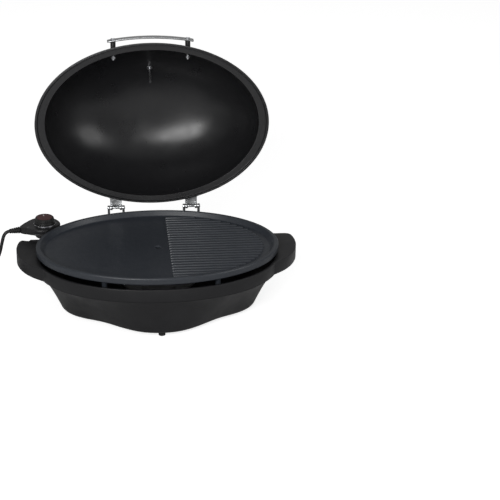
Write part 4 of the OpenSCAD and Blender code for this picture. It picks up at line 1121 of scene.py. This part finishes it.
def lamp():
    """The pilot lamp's clear lens and the rim that it stands in."""
    lens = spun([(0.01, -1), (3.5, -1), (3.5, 0), (2.5, 0), (2.5, 3.0, 0.5), (2.2, 3.6, 0.6),
                 (0.01, 3.75)], 48, True)
    place = AT_CONTROL @ shift(LAMP_X, LAMP_Y, CASE_TOP)
    made("pilot_lamp", lens, "lamp_lens", place @ shift(0, 0, -3.2), 50)
    cup = spun([(2.6, 0), (3.9, 0), (3.9, 0.35, 0.3), (3.3, 0.7, 0.3), (2.6, 0.7)], 48)
    made("pilot_lamp_rim", cup, "dial_ring", place @ shift(0, 0, -0.95), 50, extra=True)


control_case()
knob()
dial_ring()
lamp()
for node, edge in (("thermostat_switch", 0.6), ("probe_rod", 0.3), ("contact_sleeves", 0.4)):
    softened(node, edge)
fixed("control_screw_set",
      [AT_CONTROL @ shift(x, y, z + 0.1) for x, y, z in
       ((8, 13, CASE_LOW), (8, -13, CASE_LOW), (-22, 0, CASE_FOOT))],
      cross_screw(1.5, 1.0, 1.2, 5), "control_screws")


# ---- the lid

def lid_ring(r, z):
    return oval_ring(r, r * PLATE_OVAL, LID_Z + z)


def lid_shell():
    """The dome and its double-beaded flange, as one thin wall."""
    r, f, h, t = PLATE_R, DOME_FOOT, FLANGE_H, LID_T
    shares = [math.sin(a) for a in np.linspace(0.004, 1.52, 44)]
    inner = [lid_ring((DOME_R - t) * s, f + dome_rise(s, DOME_H - t)) for s in shares]
    outer = [lid_ring(DOME_R * s, f + dome_rise(s)) for s in reversed(shares)]
    foot = rounded([(DOME_R - t, f + 0.4), (DOME_R - t, f - t, 0.6), (r - 6.4, f - t, 1.2),
                    (r - 5, 0, 0.9), (r, 0, 1.4), (r, h, 2.6), (r - 7, h, 1.4),
                    (r - 9.4, f + 0.4, 1.2), (r - 11, h - 1, 1), (r - 15.4, h - 1, 1.4),
                    (DOME_R + 0.8, f - 0.2, 0.8), (DOME_R, f + 1.5)], 5, closed=False)
    rings = inner + [lid_ring(x, z) for x, z in foot] + outer
    made("lid_dome", skin(rings), "lid_shell", OPENED, 50)


def lid_crown():
    """The raised panel on the dome's top, arched over the thermometer at its front."""
    t, sunk = angles(AROUND), -0.4

    def ring(share, rise):
        x, y = polar(t, full_reach(t, CROWN_A, CROWN_B, 3), 0)[:, :2].T
        y = np.where(y < 0, y + ARCH_DEEP * np.exp(-(x / ARCH_WIDE) ** 2), y)
        x, y = x * share, y * share
        return np.stack([x, y, dome_at(x, y) + rise], 1)

    shoulder = [(1 - 0.055 * across, CROWN_H + (sunk - CROWN_H) * up) for across, up in quarter(8)]
    top = [(s, CROWN_H) for s in np.linspace(0.93, 0.04, 24)]
    under = [(s, sunk) for s in (0.04, 0.35, 0.7)]
    rings = [ring(s, z) for s, z in under + shoulder + top]
    made("lid_crown_panel", skin(rings), "lid_crown", OPENED, 45)


def strap():
    """The handle: a brushed strap bent to a wide curve, its corners and edges rounded."""
    half_l, half_h, half_t, corner = STRAP_L / 2, STRAP_H / 2, STRAP_T / 2, STRAP_CORNER
    lean_end = math.asin(half_l / STRAP_R)
    stations = [(-1.0, corner)]
    stations += [(-1 + corner * (1 - math.cos(a)) / half_l, corner * (1 - math.sin(a)))
                 for a in np.linspace(0.3, math.pi / 2, 5)]
    stations += [(u, 0) for u in np.linspace(-0.93, 0.93, 25)]
    stations += [(-u, d) for u, d in stations[5::-1]]
    rings = []
    for u, low in stations:
        top = half_h - low
        across = rounded([(-half_t, -top, 0.7), (half_t, -top, 0.7), (half_t, top, 0.7),
                          (-half_t, top, 0.7)], 3)
        x, y = math.sin(u * lean_end), math.cos(u * lean_end)
        rings.append([((STRAP_R + d) * x, STRAP_R - STRAP_Y - (STRAP_R + d) * y,
                       LID_Z + STRAP_Z + z) for d, z in across])
    made("lid_handle", skin(rings), "lid_handle_strap", OPENED, 40)


def strap_sag():
    return STRAP_R - math.sqrt(STRAP_R ** 2 - POST_X ** 2)


def handle_depth():
    """From the strap's middle line to the dome's front at a screw."""
    share = (1 - ((STRAP_Z - DOME_FOOT) / DOME_H) ** (1 / DOME_POWER)) ** (1 / DOME_FLAT)
    front = PLATE_OVAL * math.sqrt((DOME_R * share) ** 2 - POST_X ** 2)
    return STRAP_Y - strap_sag() - front


def handle_fixings():
    """The posts that hold the strap off the dome, and the screws and nuts through them."""
    places = [OPENED @ shift(s * POST_X, strap_sag() - STRAP_Y, LID_Z + STRAP_Z)
              @ turned(-90, "X") for s in (-1, 1)]
    depth = handle_depth()
    post = spun([(2.6, 1.5), (5.5, 1.5, 0.6), (5.5, depth - 2.5, 1.5), (7.2, depth + 1.6, 0.3),
                 (2.6, depth + 1.6)], 64)
    fixed("handle_post_pair", places, post, "handle_posts", 45)
    screw = moved(cross_screw(5, 2.6, 2.5, depth + 14, 0.5), shift(0, 0, -4.9))
    fixed("handle_screw_pair", places, screw, "handle_screws", 45)
    nut = moved(hexagon_nut(4.5, 4, 2.5), shift(0, 0, depth + LID_T + 2.5))
    fixed("handle_nut_pair", places, nut, "handle_nuts", 35)


def hexagon_nut(reach, height, bore):
    """A nut with its corners turned off, standing on Z zero."""
    t = angles(72)
    flat = reach * math.cos(math.pi / 6)
    hexagon = flat / np.cos((t + math.pi / 6) % (math.pi / 3) - math.pi / 6)
    trimmed = np.minimum(hexagon, flat * 1.04)
    profile = ((bore, 0.4), (bore + 0.4, 0), (trimmed, 0), (hexagon, 0.5),
               (hexagon, height - 0.5), (trimmed, height), (bore + 0.4, height),
               (bore, height - 0.4))
    return skin([polar(t, r, z) for r, z in profile], loop=True)


def socket_rivets():
    """The rivets of the hinge sockets, on the flange's back edge."""
    places = []
    for x in (s * HINGE_X + e * SOCKET_RIVET_X for s in (-1, 1) for e in (-1, 1)):
        back = PLATE_R * PLATE_OVAL * math.sqrt(1 - (x / PLATE_R) ** 2)
        places.append(OPENED @ shift(x, back - 8, LID_Z + FLANGE_H + 1))
    fixed("socket_rivet_set", places, rivet(3.4, 1.4, 2, 5), "socket_rivets")


def thermometer():
    """The thermometer's pad, bezel, dial and window on the dome's front."""
    r, h, dial_r = GAUGE_R, GAUGE_H, GAUGE_R - 3.05
    face = AT_GAUGE @ shift(0, 0, GAUGE_SEAT)
    pad = spun([(0.01, -3.5), (r + 1, -3.5), (r + 1, 1.5, 0.8), (0.01, 1.5)], 144, True)
    made("gauge_pad", pad, "lid_shell", AT_GAUGE, 45, extra=True)
    bezel = spun([(2.6, 0), (r - 0.6, 0, 0.6), (r, 1, 0.8), (r, h - 2.2, 1.4),
                  (r - 1.4, h, 1.0), (r - 3, h, 0.6), (r - 3, 1.5), (2.6, 1.5)], 144, steps=6)
    made("gauge_bezel_ring", bezel, "gauge_bezel", face, 45)
    dial = spun([(1.6, 1.5), (dial_r, 1.5), (dial_r, 2.5, 0.2), (1.6, 2.5)], 144)
    made("gauge_dial_face", dial, "gauge_dial", face, 45)
    lens = spun([(0.01, h - 1.8), (dial_r, h - 1.8), (dial_r, h - 0.8, 0.3), (0.01, h - 0.55)],
                144, True)
    made("gauge_window", lens, "gauge_lens", face, 45)
    gauge_print(face)


def figure(number, size, place):
    """The shape of one printed figure."""
    letters = bpy.data.curves.new("figure", "FONT")
    letters.body = str(number)
    letters.size, letters.extrude = size, 0.06
    letters.align_x, letters.align_y = "CENTER", "CENTER"
    made_of = linked("figure", letters)
    mesh = frozen(made_of)
    bpy.data.objects.remove(made_of)
    mesh.transform(place)
    shape = np.array([v.co for v in mesh.vertices]), [tuple(p.vertices) for p in mesh.polygons]
    bpy.data.meshes.remove(mesh)
    return shape


def gauge_print(face):
    """The scale: long and short marks, figures, and a red stretch at its hot end."""
    z, figures_r, hot_r, sweep = 2.45, 19.2, 16.5, -1.5 * math.pi
    start = math.radians(90 + NEEDLE_COLD)
    for name, half_x, half_y, count, radius in (("gauge_long_marks", 1.9, 0.35, 7, 23.4),
                                                ("gauge_short_marks", 1.0, 0.18, 31, 24.3)):
        grown(name, RING, "gauge_dial", printed(half_x, half_y, 0, 0.14),
              face @ shift(0, 0, z), finish="white_print", extra=True, Count=count,
              Radius=radius, First=start, Sweep=sweep)
    rings = [[((hot_r + w) * math.cos(a), (hot_r + w) * math.sin(a), z + d) for w, d in
              ((-1, 0), (1, 0), (1, 0.14), (-1, 0.14))]
             for a in np.linspace(math.radians(-45), math.radians(20), 30)]
    made("gauge_hot_zone", skin(rings), "gauge_dial", face, 30, finish="needle_red", extra=True)
    words = []
    for k in range(7):
        x, y = (figures_r * way(start + sweep * k / 6) for way in (math.cos, math.sin))
        words.append(figure(50 + 50 * k, 3.9, shift(x, y, z + 0.08)))
    made("gauge_figures", joined(*words), "gauge_dial", face, 30, finish="white_print",
         extra=True)


def needle():
    place = AT_GAUGE @ shift(0, 0, GAUGE_SEAT + 2.9) @ turned(NEEDLE_COLD, "Z")
    hand = slab(rounded([(-1.2, -6, 0.5), (1.2, -6, 0.5), (0.45, 19, 0.3), (-0.45, 19, 0.3)]),
                0.0, 0.8, 0.15, 2)
    hub = spun([(0.01, -2), (1.5, -2), (1.5, 0), (2.5, 0), (2.5, 0.8), (0.01, 0.8)], 48, True)
    made("gauge_hand", joined(hand, hub), "gauge_needle", place, 40)


lid_shell()
lid_crown()
strap()
handle_fixings()
socket_rivets()
thermometer()
needle()
for node, edge in (("hinge_socket_left", 0.35), ("hinge_socket_right", 0.35), ("gauge_stem", 0.6),
                   ("gauge_nut", 0.4)):
    softened(node, edge)


# ---- the studio

def backdrop():
    """A plain pale floor, which glows for the camera alone, so that it comes out near white."""
    corners = [(x * 12, y * 12, -0.0005) for x, y in ((-1, -1), (1, -1), (1, 1), (-1, 1))]
    floor = linked("floor", plain_mesh("floor", corners, [(0, 1, 2, 3)]))
    pale = Finish("pale_floor", (0.6, 0.6, 0.6), 0.9)
    floor.data.materials.append(pale.material)
    plain = pale.shader.outputs[0]
    seen = pale.add("ShaderNodeLightPath")["Is Camera Ray"]
    glow = pale.add("ShaderNodeEmission", {"Strength": FLOOR_GLOW})[0]
    both = pale.add("ShaderNodeAddShader", {0: plain, 1: glow})[0]
    pick = pale.add("ShaderNodeMixShader", {0: seen, 1: plain, 2: both})[0]
    pale.tree.links.new(pick, pale.tree.nodes["Material Output"].inputs["Surface"])


def sky():
    """White to the camera and through clear pieces, and a dim even light on all the rest."""
    world = scene.world = bpy.data.worlds.new("studio")
    world.use_nodes = True
    tree = world.node_tree
    ray = wired(tree, "ShaderNodeLightPath")
    through = wired(tree, "ShaderNodeMath", {
        0: ray["Is Camera Ray"], 1: ray["Is Transmission Ray"]}, operation="MAXIMUM")[0]
    level = wired(tree, "ShaderNodeMapRange", {
        "Value": through, "To Min": AIR_LIGHT, "To Max": 1.0})[0]
    air = tree.nodes["Background"].inputs
    air["Color"].default_value = (1, 1, 1, 1)
    tree.links.new(level, air["Strength"])


def soft_light(name, place, size, power, aim=(0, 0, 0.1)):
    lamp_data = bpy.data.lights.new(name, "AREA")
    lamp_data.shape = "RECTANGLE"
    lamp_data.size, lamp_data.size_y = size
    lamp_data.energy = power
    light = linked(name, lamp_data)
    light.location = place
    light.rotation_mode = "QUATERNION"
    light.rotation_quaternion = (Vector(aim) - Vector(place)).to_track_quat("-Z", "Y")


backdrop()
sky()
soft_light("key", (-1.0, -2.6, 1.5), (1.8, 1.2), 66)
soft_light("fill", (2.2, -1.2, 1.5), (1.4, 1.4), 16)
soft_light("back", (0.3, 2.0, 2.8), (2.0, 1.0), 8)

scene.view_settings.view_transform = "Standard"
